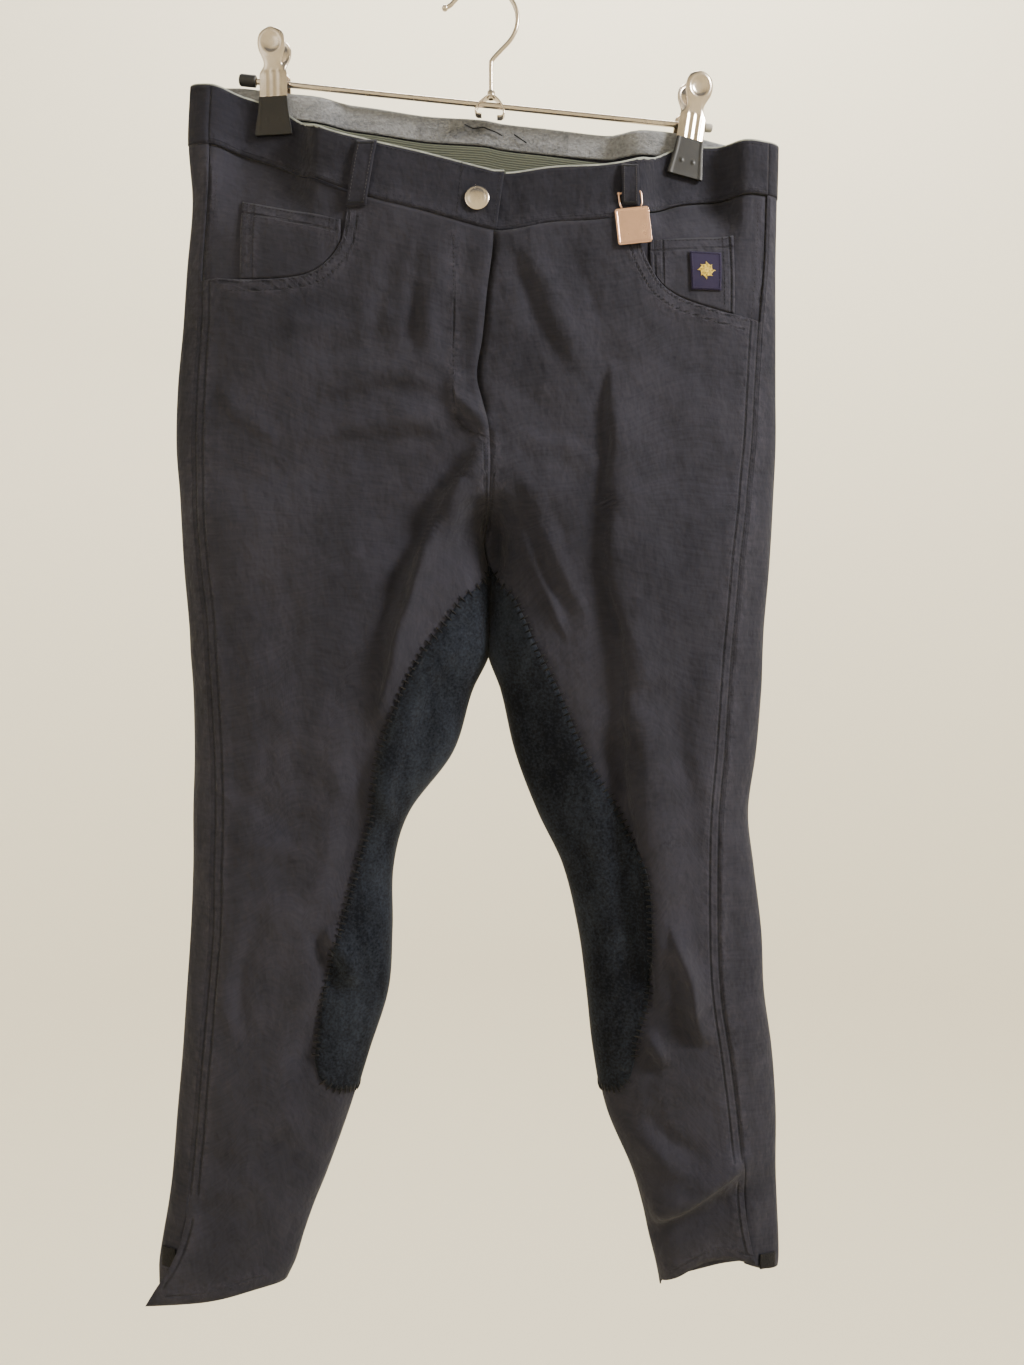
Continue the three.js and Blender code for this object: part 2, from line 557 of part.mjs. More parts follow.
// The region above a pocket's mouth, grown or shrunk about the pocket's outer corner.
function mouthOutline(pocket, grow) {
  const moved = pocket.mouth.map((p) => {
    const from = new THREE.Vector2(p.x - pocket.corner.x, p.z - pocket.corner.z);
    from.setLength(from.length() + grow);
    return new THREE.Vector2(pocket.corner.x + from.x, pocket.corner.z + from.y);
  });
  const curve = new THREE.SplineCurve(moved).getPoints(MOUTH.pieces);
  const side = Math.sign(pocket.corner.x);
  const beyond = pocket.corner.x + side * MOUTH.beyondSide;
  const above = pocket.corner.z + MOUTH.aboveWaist;
  return [
    { x: curve[0].x, z: above },
    ...curve.map((p) => ({ x: p.x, z: p.y })),
    { x: beyond, z: pocket.sideZ - grow },
    { x: beyond, z: above },
  ];
}

const group = new THREE.Group();

function add(name, geometry, colour, roughness = 0.9, metalness = 0, parent = group) {
  const material = new THREE.MeshStandardMaterial({ color: colour, roughness, metalness });
  const mesh = new THREE.Mesh(geometry, material);
  mesh.name = name;
  parent.add(mesh);
  return mesh;
}

const CLOTH = 0x444042;
const BAND_CLOTH = 0x323034;
const SUEDE = 0x262a32;
const METAL = 0xaa9b8c;

// Front and back panels, with the pocket mouths cut from the fronts.
for (const [side, leg] of Object.entries(LEGS)) {
  const front = panelGrid(leg, 'front');
  const back = panelGrid(leg, 'back');
  const pocket = POCKETS[side];
  const mouth = frontPrism(mouthOutline(pocket, 0));
  const wholeFront = toSolid(wall(front, -PANEL / 2, PANEL / 2));
  add(`front_${side}`, fromSolid(mainBody(wholeFront.subtract(mouth))), CLOTH);
  add(`back_${side}`, wall(back, -PANEL / 2, PANEL / 2), CLOTH);

  // The facing shows above the mouth and runs on a little way behind its edge.
  const pocketRows = ROW_LEVELS.findIndex((level) => level < POCKET_ZONE_END);
  const pocketCells = (i, j) => i < pocketRows && j >= CELLS.innerFront;
  const facingLow = -PANEL / 2 - GAP - PANEL;
  const facing = toSolid(wall(front, facingLow, -PANEL / 2 - GAP, pocketCells));
  const underEdge = frontPrism(mouthOutline(pocket, FACING_UNDERLAP));
  add(`pocket_facing_${side}`, fromSolid(mainBody(facing.intersect(underEdge))), CLOTH);

  const inMouth = frontPrism(mouthOutline(pocket, -2 * GAP));
  const coin = wholeFront.intersect(inMouth).intersect(frontPrism(pocket.coin));
  add(`coin_pocket_${side}`, fromSolid(mainBody(coin)), CLOTH);

  if (side === 'left') {
    const raised = toSolid(wall(front, PANEL / 2 + GAP, PANEL / 2 + GAP + BADGE.thick, pocketCells));
    const outline = [
      { x: BADGE.x1, z: BADGE.z1 }, { x: BADGE.x2, z: BADGE.z1 },
      { x: BADGE.x2 - BADGE.taper, z: BADGE.z2 }, { x: BADGE.x1 + BADGE.taper, z: BADGE.z2 },
    ];
    add('pocket_badge', fromSolid(mainBody(raised.intersect(frontPrism(outline)))), 0x231e32);
  }

  // A short piece of closing tape on the back's edge, beside the slit.
  for (const tape of HOOK_TAPES.filter((entry) => entry.leg === side)) {
    const raised = toSolid(wall(back, PANEL / 2 + GAP, PANEL / 2 + GAP + TAPE, (i, j) => j < TAPE_COLUMNS));
    const outline = [
      { x: tape.x1, z: tape.z1 }, { x: tape.x2, z: tape.z1 },
      { x: tape.x2, z: tape.z2 }, { x: tape.x1, z: tape.z2 },
    ];
    add(`hook_tape_${side}`, fromSolid(mainBody(raised.intersect(frontPrism(outline)))), 0x101012);
  }

  // The seat patch lies on both panels, astride the inseam: its columns run from its
  // back edge over the inseam to its front edge, and its front part starts at the thigh.
  const patchGrid = front.map((frontRow, i) => {
    const backCells = back[i].slice(CELLS.outerBack);
    const frontCells = frontRow.slice(0, CELLS.innerFront + 1);
    const closed = ROW_LEVELS[i] <= CROTCH;
    const seamSite = closed ? site(leg, 0, ROW_LEVELS[i]) : backCells[backCells.length - 1];
    return [...backCells.slice(0, -1), seamSite, ...frontCells.slice(1)];
  });
  const patchTop = ROW_LEVELS.indexOf(SEAT_PATCH.backTop);
  const thighTop = ROW_LEVELS.indexOf(SEAT_PATCH.frontTop);
  const patchEnd = ROW_LEVELS.indexOf(SEAT_PATCH.bottom);
  const patchCells = (i, j) => i >= (j < CELLS.innerBack ? patchTop : thighTop) && i < patchEnd;
  const patchLow = PANEL / 2 + GAP;
  add(`seat_patch_${side}`, wall(patchGrid, patchLow, patchLow + PATCH, patchCells), SUEDE, 0.95);
}

// Waistband: the same columns as the panels below it, in three rows of heights.
const BAND_ROWS = 3;
function bandGrid(leg, angles, trimTop = 0, trimSeam = GAP / 2) {
  return spread(0, 1, BAND_ROWS).map((share) => angles.map((angle) => {
    const face = Math.sin(angle) > 0 ? 'front' : 'back';
    const waistX = surface(leg, angle, WAIST_LEVEL).x;
    const top = column(WAIST, `${face}Top`, waistX, 'x') - trimTop;
    const seam = shapedHeight(leg, angle, WAIST_LEVEL) + trimSeam;
    return { ...site(leg, angle, top + (seam - top) * share), crosses: true };
  }));
}

// The panels' own angles along the waist seam.
function waistAngles(leg, face) {
  return rowAngles(leg, WAIST_LEVEL)[face].map((flatAngle, i) => {
    const height = shapedHeight(leg, flatAngle, WAIST_LEVEL);
    return rowAngles(leg, height)[face][i];
  });
}
// Half a seam's gap at the side seam, as an angle there.
const SIDE_TRIM = 0.006;
const frontAngles = (leg) => {
  const angles = waistAngles(leg, 'front');
  angles.push(angles.pop() - SIDE_TRIM);
  return angles;
};

const tabGrid = bandGrid(LEGS.right, frontAngles(LEGS.right));
tabGrid.forEach((row, i) => {
  const edgeX = TAB.topX + ((TAB.seamX - TAB.topX) * i) / BAND_ROWS;
  row.unshift({ ...siteAt(LEGS.right, edgeX, row[0].point.z, 'front'), crosses: true });
});
add('waistband_front_right', wall(tabGrid, -BAND / 2, BAND / 2), BAND_CLOTH);

const underlapGrid = bandGrid(LEGS.left, frontAngles(LEGS.left));
underlapGrid.forEach((row) => {
  const height = column(WAIST, 'frontTop', UNDERLAP.startX, 'x') - column(WAIST, 'frontTop', CLOSING_X, 'x');
  row.unshift({ ...siteAt(LEGS.left, UNDERLAP.startX, row[0].point.z + height, 'front'), crosses: true });
  for (const place of row) {
    const sunk = UNDERLAP.sunk * (1 - ease(place.point.x, UNDERLAP.deepUntilX, UNDERLAP.levelX));
    place.point.addScaledVector(place.normal, -sunk);
  }
});
add('waistband_front_left', wall(underlapGrid, -BAND / 2, BAND / 2), BAND_CLOTH);

// The back waistband and its inner strips run in one piece across the centre back.
function backBandGrid(trimTop, trimSeam, keepAngle) {
  const [rightHalf, leftHalf] = ['right', 'left'].map((side) => {
    const angles = waistAngles(LEGS[side], 'back');
    angles[0] += SIDE_TRIM;
    return bandGrid(LEGS[side], angles.filter(keepAngle), trimTop, trimSeam);
  });
  return rightHalf.map((row, i) => [...row, ...leftHalf[i].reverse().slice(1)]);
}
add('waistband_back', wall(backBandGrid(0, GAP / 2, () => true), -BAND / 2, BAND / 2), BAND_CLOTH);

// Two strips lie on the inside of the back waistband: brushed terry over ribbed elastic.
const STRIPS = { bandHeight: 43, terryHeight: 19, margin: 1.5, startAngle: Math.PI * 1.08 };
const stripHigh = -BAND / 2 - GAP;
const behind = (angle) => angle > STRIPS.startAngle;
const terryGrid = backBandGrid(STRIPS.margin, STRIPS.bandHeight - STRIPS.terryHeight, behind);
add('inner_terry_strip', wall(terryGrid, stripHigh - STRIP, stripHigh), 0x7d7d84);
const ribGrid = backBandGrid(STRIPS.terryHeight + STRIPS.margin, STRIPS.margin - STRIP / 2, behind);
add('inner_rib_strip', wall(ribGrid, stripHigh - STRIP, stripHigh), 0x5f6458);

// The fly shield lies behind the gap of the fly, from the waist to the end of the zip.
const SHIELD = { left: -14, right: 18, bottom: -346, rows: 6 };
const shieldGrid = spread(0, 1, SHIELD.rows).map((share) => {
  const top = column(WAIST, 'frontSeam', CLOSING_X, 'x') - 2 * GAP;
  const z = top + (SHIELD.bottom - top) * share;
  const middle = centreX('front', z);
  return [
    siteAt(LEGS.right, middle + SHIELD.left, z, 'front'),
    siteAt(LEGS.right, middle, z, 'front'),
    siteAt(LEGS.left, middle + SHIELD.right, z, 'front'),
  ].map((place) => ({ ...place, crosses: true }));
});
add('fly_shield', wall(shieldGrid, -PANEL / 2 - GAP - STRIP, -PANEL / 2 - GAP), CLOTH);

// Belt loops: strips that stand off the waistband between their sewn ends.
const LOOP_ROWS = 10;
const LOOP_FULLNESS = 0.6;
for (const loop of BELT_LOOPS) {
  const leg = LEGS[loop.leg];
  const grid = spread(0, 1, LOOP_ROWS).map((share) => {
    const x = loop.topX + (loop.lowX - loop.topX) * share;
    const z = loop.top + (loop.low - loop.top) * share;
    const lift = BAND / 2 + GAP + loop.bow * Math.sin(Math.PI * share) ** LOOP_FULLNESS;
    return spread(-loop.width / 2, loop.width / 2, 2).map((across) => {
      const place = siteAt(leg, x + across, z, loop.face);
      place.point.addScaledVector(place.normal, lift);
      place.crosses = true;
      return place;
    });
  });
  add(loop.name, wall(grid, 0, LOOP), BAND_CLOTH);
}

// The snap button's cap, a shallow dome that stands on the tab.
const snapProfile = [
  [0, 0], [SNAP.radius * 0.9, 0], [SNAP.radius, 0.8], [SNAP.radius * 0.96, 1.7],
  [SNAP.radius * 0.8, 2.5], [SNAP.radius * 0.5, 3], [0, SNAP.height],
].map(([r, h]) => new THREE.Vector2(r, h));
const snapPlace = siteAt(LEGS.right, SNAP.x, SNAP.z, 'front');
const snap = add('snap_button', new THREE.LatheGeometry(snapProfile, 20), METAL, 0.35, 1);
snap.position.copy(snapPlace.point).addScaledVector(snapPlace.normal, BAND / 2 + GAP);
snap.quaternion.setFromUnitVectors(new THREE.Vector3(0, 1, 0), snapPlace.normal);

// A tube along a curve, with closed ends.
function tube(points, radius, sides, steps, tension = 0.5) {
  const curve = new THREE.CatmullRomCurve3(points, false, 'catmullrom', tension);
  const round = new THREE.Shape(spread(0, 2 * Math.PI, sides).slice(0, -1).map(
    (a) => new THREE.Vector2(radius * Math.cos(a), radius * Math.sin(a)),
  ));
  return new THREE.ExtrudeGeometry(round, { steps, bevelEnabled: false, extrudePath: curve });
}

// The plate and its bail share a frame at the hinge: X along the crossbar, Z up the plate.
const barPlace = siteAt(LEGS.left, TRIM.x, TRIM.z, 'front');
const lowPlace = siteAt(LEGS.left, TRIM.x, TRIM.z - TRIM.drop - TRIM.height, 'front');
const hinge = barPlace.point.clone().addScaledVector(barPlace.normal, TRIM.standOff);
const lowEnd = lowPlace.point.clone().addScaledVector(lowPlace.normal, PANEL / 2 + TRIM.clearance + TRIM.thick);
const barLine = new THREE.Vector3(1, 0, Math.tan(THREE.MathUtils.degToRad(TRIM.tilt))).normalize();
const plateUp = hinge.clone().sub(lowEnd);
plateUp.addScaledVector(barLine, -plateUp.dot(barLine)).normalize();
const plateBack = new THREE.Vector3().crossVectors(plateUp, barLine).normalize();
const trimFrame = new THREE.Group();
trimFrame.position.copy(hinge);
trimFrame.quaternion.setFromRotationMatrix(new THREE.Matrix4().makeBasis(barLine, plateBack, plateUp));
group.add(trimFrame);

const BAIL = { corner: 1.2, footInset: 1, footGap: 0.4 };
const halfBail = [
  [TRIM.halfBar - BAIL.footInset, BAIL.footGap - TRIM.drop], [TRIM.halfBar, -TRIM.drop / 2],
  [TRIM.halfBar, -BAIL.corner], [TRIM.halfBar - BAIL.corner, 0],
];
const bailPoints = [...halfBail.map(([x, z]) => [-x, z]), [0, 0], ...halfBail.reverse()]
  .map(([x, z]) => new THREE.Vector3(x, 0, z));
add('trim_bail', tube(bailPoints, TRIM.wire, 6, 24, 0.3), METAL, 0.35, 1, trimFrame);

// The plate has rounded corners, and its rim stands up round a bare field.
function roundedRectangle(width, height, radius) {
  const shape = new THREE.Shape();
  const [w, h] = [width / 2, height / 2];
  shape.moveTo(-w + radius, -h);
  shape.lineTo(w - radius, -h);
  shape.absarc(w - radius, -h + radius, radius, -Math.PI / 2, 0);
  shape.lineTo(w, h - radius);
  shape.absarc(w - radius, h - radius, radius, 0, Math.PI / 2);
  shape.lineTo(-w + radius, h);
  shape.absarc(-w + radius, h - radius, radius, Math.PI / 2, Math.PI);
  shape.lineTo(-w, -h + radius);
  shape.absarc(-w + radius, -h + radius, radius, Math.PI, 1.5 * Math.PI);
  return shape;
}
const plateOptions = { bevelEnabled: false, curveSegments: 3 };
const plateBase = new THREE.ExtrudeGeometry(
  roundedRectangle(TRIM.width, TRIM.height, 2),
  { ...plateOptions, depth: TRIM.thick },
);
const plateField = new THREE.ExtrudeGeometry(
  roundedRectangle(TRIM.width - 2 * TRIM.rim, TRIM.height - 2 * TRIM.rim, 1),
  { ...plateOptions, depth: TRIM.thick },
);
plateField.translate(0, 0, TRIM.thick - TRIM.rimHeight);
const plate = fromSolid(toSolid(plateBase).subtract(toSolid(plateField)));
plate.translate(0, 0, -TRIM.thick / 2);
plate.rotateX(Math.PI / 2);
plate.translate(0, 0, -TRIM.drop - TRIM.height / 2);
add('trim_plate', plate, 0xc8a08c, 0.4, 1, trimFrame);

// Hanger: the wire hook, from its ball tip over the top to the stem.
const hookLine = HOOK.radius + HOOK.wire;
const hookPoints = [[-28.5, -15.4], [-25, -13.6], ...spread(146, -36, 9).map((degrees) => {
  const a = THREE.MathUtils.degToRad(degrees);
  return [hookLine * Math.cos(a), hookLine * Math.sin(a) - HOOK.radius];
}), [13, -48], [HOOK.stemX + 1, HOOK.kinkZ + 1], [HOOK.stemX, HOOK.kinkZ - 4], [HOOK.stemX, HOOK.stemEnd]]
  .map(([x, z]) => new THREE.Vector3(x, 0, z));
const hookWire = toSolid(tube(hookPoints, HOOK.wire, 8, 48));
const ball = new THREE.SphereGeometry(HOOK.ball, 10, 8);
ball.translate(HOOK.ballX, 0, HOOK.ballZ);
add('hook', fromSolid(hookWire.add(toSolid(ball))), METAL, 0.35, 1);

// Everything on the rod shares its slope.
const rodZ = (x) => ROD.z + (x - ROD.x) * ROD.slope;
function alongRod(geometry, x) {
  geometry.rotateZ(Math.PI / 2);
  geometry.rotateY(-Math.atan(ROD.slope));
  geometry.translate(x, 0, rodZ(x));
  return geometry;
}
const rodMiddle = (ROD.left + ROD.right) / 2;
const rodLength = (ROD.right - ROD.left) / Math.cos(Math.atan(ROD.slope));
add('rod', alongRod(new THREE.CylinderGeometry(ROD.radius, ROD.radius, rodLength, 20), rodMiddle), METAL, 0.35, 1);

for (const cap of ROD_CAPS) {
  const bore = ROD.radius + GAP;
  const depth = cap.length - CAP_END_WALL;
  const profile = [
    [0, 0], [cap.radius * 0.7, 0], [cap.radius, 1], [cap.radius, cap.length],
    [bore, cap.length], [bore, cap.length - depth], [0, cap.length - depth],
  ].map(([r, h]) => new THREE.Vector2(r, h));
  const geometry = new THREE.LatheGeometry(profile, 18);
  if (cap.inward > 0) geometry.rotateX(Math.PI);
  add(cap.name, alongRod(geometry, cap.x), cap.colour, 0.6);
}

// The saddle joins the hook's stem to the rod, which runs through it.
const saddleOutline = [
  { x: 3.2, z: -79 }, { x: 8.2, z: -79 }, { x: 9.4, z: -82.6 }, { x: 14.6, z: -86 }, { x: 16.2, z: -96.4 },
  { x: 13.4, z: -97.2 }, { x: 9, z: -95.4 }, { x: 3, z: -94.8 }, { x: -2.6, z: -95.6 }, { x: -5.7, z: -94.2 },
  { x: -3.4, z: -85.4 }, { x: 2, z: -82.2 },
];
const boreRadius = ROD.radius + GAP;
const rodBoreShape = new THREE.CylinderGeometry(boreRadius, boreRadius, SADDLE.rodBoreLength, 20);
const rodBore = alongRod(rodBoreShape, SADDLE.rodBoreX);
const stemBore = new THREE.CylinderGeometry(HOOK.wire + GAP, HOOK.wire + GAP, SADDLE.stemBoreLength, 16);
stemBore.rotateX(Math.PI / 2);
stemBore.translate(HOOK.stemX, 0, HOOK.stemEnd - GAP + SADDLE.stemBoreLength / 2);
const saddle = frontPrism(saddleOutline, -SADDLE.depth / 2, SADDLE.depth / 2)
  .subtract(toSolid(rodBore)).subtract(toSolid(stemBore));
add('saddle', fromSolid(saddle), METAL, 0.35, 1);

// A clip's plate: rows of a table with a half width and the y of the plate's middle.
function clipPlate(rows, thick, face) {
  const grid = rows.map((row, i) => {
    const above = rows[Math.max(i - 1, 0)];
    const below = rows[Math.min(i + 1, rows.length - 1)];
    const fall = new THREE.Vector3(0, face * (below.y - above.y), below.z - above.z);
    const normal = new THREE.Vector3(1, 0, 0).cross(fall).normalize();
    return spread(-row.half, row.half, 2).map((x) => ({ point: new THREE.Vector3(x, face * row.y, row.z), normal }));
  });
  return wall(grid, -thick / 2, thick / 2);
}

for (const clip of CLIPS) {
  const frame = new THREE.Group();
  frame.position.set(clip.x, 0, rodZ(clip.x));
  frame.rotation.set(0, THREE.MathUtils.degToRad(clip.lean), THREE.MathUtils.degToRad(clip.turn), 'ZYX');
  group.add(frame);
  for (const [face, sign] of [['front', -1], ['back', 1]]) {
    add(`${clip.name}_handle_${face}`, clipPlate(CLIP_HANDLE, CLIP_METAL, sign), METAL, 0.35, 1, frame);
    add(`${clip.name}_jaw_${face}`, clipPlate(CLIP_JAW, CLIP_DIP, sign), 0x2d2a28, 0.6, 0, frame);
  }
  const barrel = new THREE.LatheGeometry([
    [BARREL.bore, -BARREL.half], [BARREL.outer, -BARREL.half], [BARREL.outer, BARREL.half],
    [BARREL.bore, BARREL.half], [BARREL.bore, -BARREL.half],
  ].map(([r, h]) => new THREE.Vector2(r, h)), 20);
  barrel.rotateZ(Math.PI / 2);
  add(`${clip.name}_barrel`, barrel, METAL, 0.35, 1, frame);
}

export default group;
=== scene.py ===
import json
import math

import bmesh
import bpy
import numpy as np
from mathutils import Matrix, Vector


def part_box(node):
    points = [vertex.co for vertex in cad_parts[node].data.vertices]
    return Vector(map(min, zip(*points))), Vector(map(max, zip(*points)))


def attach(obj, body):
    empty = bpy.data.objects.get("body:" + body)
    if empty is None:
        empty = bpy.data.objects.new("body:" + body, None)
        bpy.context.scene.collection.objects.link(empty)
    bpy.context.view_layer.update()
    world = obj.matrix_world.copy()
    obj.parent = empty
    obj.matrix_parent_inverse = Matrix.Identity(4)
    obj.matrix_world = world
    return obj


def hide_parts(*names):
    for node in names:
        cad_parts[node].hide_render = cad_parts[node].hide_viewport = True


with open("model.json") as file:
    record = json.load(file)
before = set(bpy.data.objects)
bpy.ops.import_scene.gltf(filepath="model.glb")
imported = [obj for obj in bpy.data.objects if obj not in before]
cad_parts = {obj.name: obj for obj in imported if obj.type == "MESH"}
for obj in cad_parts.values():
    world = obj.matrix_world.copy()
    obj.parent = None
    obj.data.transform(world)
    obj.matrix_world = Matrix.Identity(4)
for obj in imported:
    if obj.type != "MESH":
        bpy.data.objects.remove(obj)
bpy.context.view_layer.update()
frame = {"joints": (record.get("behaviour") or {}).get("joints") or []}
MM = 0.001
GARMENT = "garment"

# The camera stands level before the middle of the garment, just under a metre away.
# Its upright frame cuts off the top of the hook.
camera = bpy.data.objects.new("camera", bpy.data.cameras.new("camera"))
camera.data.lens = 33
camera.location = (0.0217, -0.950, -0.5278)
camera.rotation_euler = (math.radians(90), 0, 0)
bpy.context.scene.collection.objects.link(camera)
bpy.context.scene.camera = camera


# The cloth hangs as two flattened tubes, one for each leg, which meet along the rise.
# A tube's section is a soft oval whose widths and depths change with height. Every
# panel, band and patch is laid on these two surfaces.
class Table:
    """Rows of sizes, read as a smooth curve along the first column."""

    def __init__(self, names, rows):
        data = np.array(sorted(rows), float)
        self.along = data[:, 0]
        self.columns = dict(zip(names.split(), data.T))

    def at(self, name, place):
        xs, ys = self.along, self.columns[name]
        place = np.asarray(place, float)
        i = np.clip(np.searchsorted(xs[1:-1], place, side="left"), 0, len(xs) - 2)
        before, after = np.maximum(i - 1, 0), np.minimum(i + 2, len(xs) - 1)
        span = xs[i + 1] - xs[i]
        t = np.clip((place - xs[i]) / span, 0, 1)
        slope_a = (ys[i + 1] - ys[before]) / (xs[i + 1] - xs[before])
        slope_b = (ys[after] - ys[i]) / (xs[after] - xs[i])
        return (
            (2 * t**3 - 3 * t**2 + 1) * ys[i]
            + (t**3 - 2 * t**2 + t) * span * slope_a
            + (3 * t**2 - 2 * t**3) * ys[i + 1]
            + (t**3 - t**2) * span * slope_b
        )


class Leg:
    """One half: its side of the centre line, its ankle slit, and its sections."""

    def __init__(self, name, side, slit_top, flap_lift, rows):
        self.name, self.side, self.slit_top, self.flap_lift = name, side, slit_top, flap_lift
        self.sections = Table("z outer inner seam patch_front patch_back front back", rows)

    def at(self, name, z):
        return self.sections.at(name, z)


RIGHT = Leg("right", -1, -922, 3, [
    (-70, -221, 8, -205, -60, -50, 27, 12),
    (-120, -223, 8, -205, -60, -50, 29, 12),
    (-165, -220, 8, -207, -62, -55, 31, 15),
    (-215, -224, 6, -210, -62, -60, 33, 21),
    (-260, -227, 1, -211, -60, -110, 34, 27),
    (-305, -231, -4, -214, -56, -135, 35, 32),
    (-350, -232, 4, -215, -48, -148, 36, 35),
    (-390, -229, 6, -214, -34, -152, 36, 37),
    (-440, -226, 4, -210, -5, -150, 36, 37),
    (-485, -222, 4, -205, -29, -143, 35, 35),
    (-505, -221, 4, -204, -44, -140, 35, 34),
    (-533, -219, -9, -202, -59, -136, 34, 33),
    (-580, -218, -24, -200, -76, -130, 32, 31),
    (-625, -219, -57, -199, -83, -128, 30, 29),
    (-665, -219, -69, -200, -94, -128, 29, 28),
    (-715, -221, -70, -201, -107, -128, 28, 27),
    (-760, -224, -73, -205, -119, -130, 27, 27),
    (-805, -227, -87, -209, -124, -134, 26, 26),
    (-850, -231, -101, -213, -130, -145, 24, 24),
    (-900, -235, -119, -218, -145, -158, 22, 21),
    (-922, -238, -128, -220, -152, -164, 21, 20),
    (-945, -242, -136, -225, -158, -170, 20, 19),
    (-965, -245, -142, -234, -164, -174, 19, 18),
    (-980, -245, -149, -244, -170, -178, 18, 18),
    (-1000, -245, -155, -256, -176, -182, 17, 17),
])
LEFT = Leg("left", 1, -895, 2, [
    (-70, 223, 8, 214, 75, 65, 27, 12),
    (-120, 223, 8, 214, 75, 65, 29, 12),
    (-165, 222, 8, 213, 76, 66, 31, 15),
    (-215, 221, 6, 211, 76, 72, 33, 21),
    (-260, 221, 1, 207, 74, 115, 34, 27),
    (-305, 221, -4, 204, 70, 138, 35, 32),
    (-350, 221, 4, 201, 60, 148, 36, 35),
    (-390, 219, 6, 197, 42, 150, 36, 37),
    (-440, 216, 6, 191, 18, 147, 36, 37),
    (-485, 212, 5, 187, 33, 141, 35, 35),
    (-505, 211, 4, 185, 42, 138, 35, 34),
    (-533, 210, 14, 183, 56, 134, 34, 33),
    (-580, 206, 25, 180, 76, 130, 32, 31),
    (-625, 200, 42, 176, 101, 126, 30, 29),
    (-665, 204, 61, 175, 120, 124, 29, 28),
    (-715, 210, 73, 175, 125, 124, 28, 27),
    (-760, 212, 79, 177, 123, 126, 27, 27),
    (-805, 218, 84, 184, 113, 128, 26, 26),
    (-850, 221, 93, 190, 118, 135, 24, 24),
    (-895, 221, 112, 194, 130, 145, 22, 21),
    (-922, 222, 120, 195, 138, 150, 21, 20),
    (-945, 223, 125, 199, 144, 155, 20, 19),
    (-965, 223, 130, 204, 150, 160, 19, 18),
    (-980, 220, 133, 208, 153, 163, 18, 18),
    (-1000, 218, 136, 211, 156, 166, 17, 17),
])
WAIST = Table("x front_top front_seam back_top back_seam", [
    (-223, -77, -121, -77, -121),
    (-190, -83, -127, -75, -119),
    (-155, -95, -139, -80, -123),
    (-120, -117, -157, -84, -127),
    (-85, -128, -170, -88, -131),
    (-45, -138, -181, -94, -137),
    (0, -150, -194, -97, -140),
    (15, -153, -196, -100, -143),
    (50, -149, -190, -104, -147),
    (90, -147, -187, -109, -151),
    (120, -140, -180, -111, -153),
    (150, -125, -168, -112, -155),
    (190, -123, -163, -118, -159),
    (223, -123, -162, -123, -162),
])
HEM = Table("x front back", [
    (-256, -996, -976),
    (-235, -994, -977),
    (-205, -990, -981),
    (-152, -978, -978),
    (130, -979, -984),
    (144, -974, -984),
    (165, -960, -981),
    (183, -957, -977),
    (205, -965, -973),
    (222, -968, -969),
])
FRONT_CENTRE = Table("z x", [
    (-70, 8), (-200, 8), (-245, 3), (-275, 0), (-303, -4), (-322, 0),
    (-345, 5), (-390, 5), (-424, 1), (-453, 6), (-505, 4),
])
BACK_CENTRE = Table("z x", [(-70, 8), (-390, 5), (-424, 1), (-453, 6), (-505, 4)])

ROUND = 2 / 2.3
WAIST_LEVEL, HEM_LEVEL = -150, -985
WAIST_SHAPING_ENDS, HEM_SHAPING_STARTS = -345, -880
RISE_STRAIGHT_TO, CROTCH, LEGS_PART = -372, -426, -505
INNER_LEG_CLEARANCE = 0.8
SLIT_LIFT_LENGTH = 21
CLOSING_X = 8

# Where each clip grips: its place on the rod, the middle of its jaws, its turn and their foot.
CLIPS = [
    {"name": "right", "x": -158, "jaw_x": -157.5, "lean": -1.3, "turn": -5, "jaw_bottom": -117},
    {"name": "left", "x": 156.5, "jaw_x": 151, "lean": 9.5, "turn": 13, "jaw_bottom": -147},
]
PINCH = {"half": 3.4, "hold": 0.98, "toward_centre": 29, "toward_side": 38, "back": 44, "fade": 85}

# The largest folds, then the finer creases, of each face. A row gives the width, the height
# (below 0 for a trough) and the line.
FOLDS = {
    "front": [
        (13, -2, [(90, -290), (90, -440)]),
        (13, -3, [(92, -455), (103, -580)]),
        (13, -7, [(100, -580), (106, -640), (119, -740)]),
        (18, 3, [(114, -310), (120, -520)]),
        (16, 4, [(124, -560), (146, -760)]),
        (11, 4, [(2, -362), (-44, -435)]),
        (13, 4, [(-44, -435), (-74, -545)]),
        (12, -3, [(-22, -372), (-70, -460)]),
        (12, 3, [(16, -375), (60, -450)]),
        (13, -3, [(-104, -745), (-134, -805)]),
        (10, 5, [(131, -921), (190, -886)]),
        (9, -4, [(128, -941), (188, -908)]),
    ],
    "back": [
        (16, -5, [(-20, -395), (-140, -445)]),
        (16, 4, [(-16, -430), (-130, -485)]),
        (16, -5, [(28, -395), (145, -450)]),
        (16, 4, [(24, -432), (130, -492)]),
        (12, -4, [(-100, -640), (-200, -655)]),
        (12, -4, [(85, -650), (185, -640)]),
    ],
}
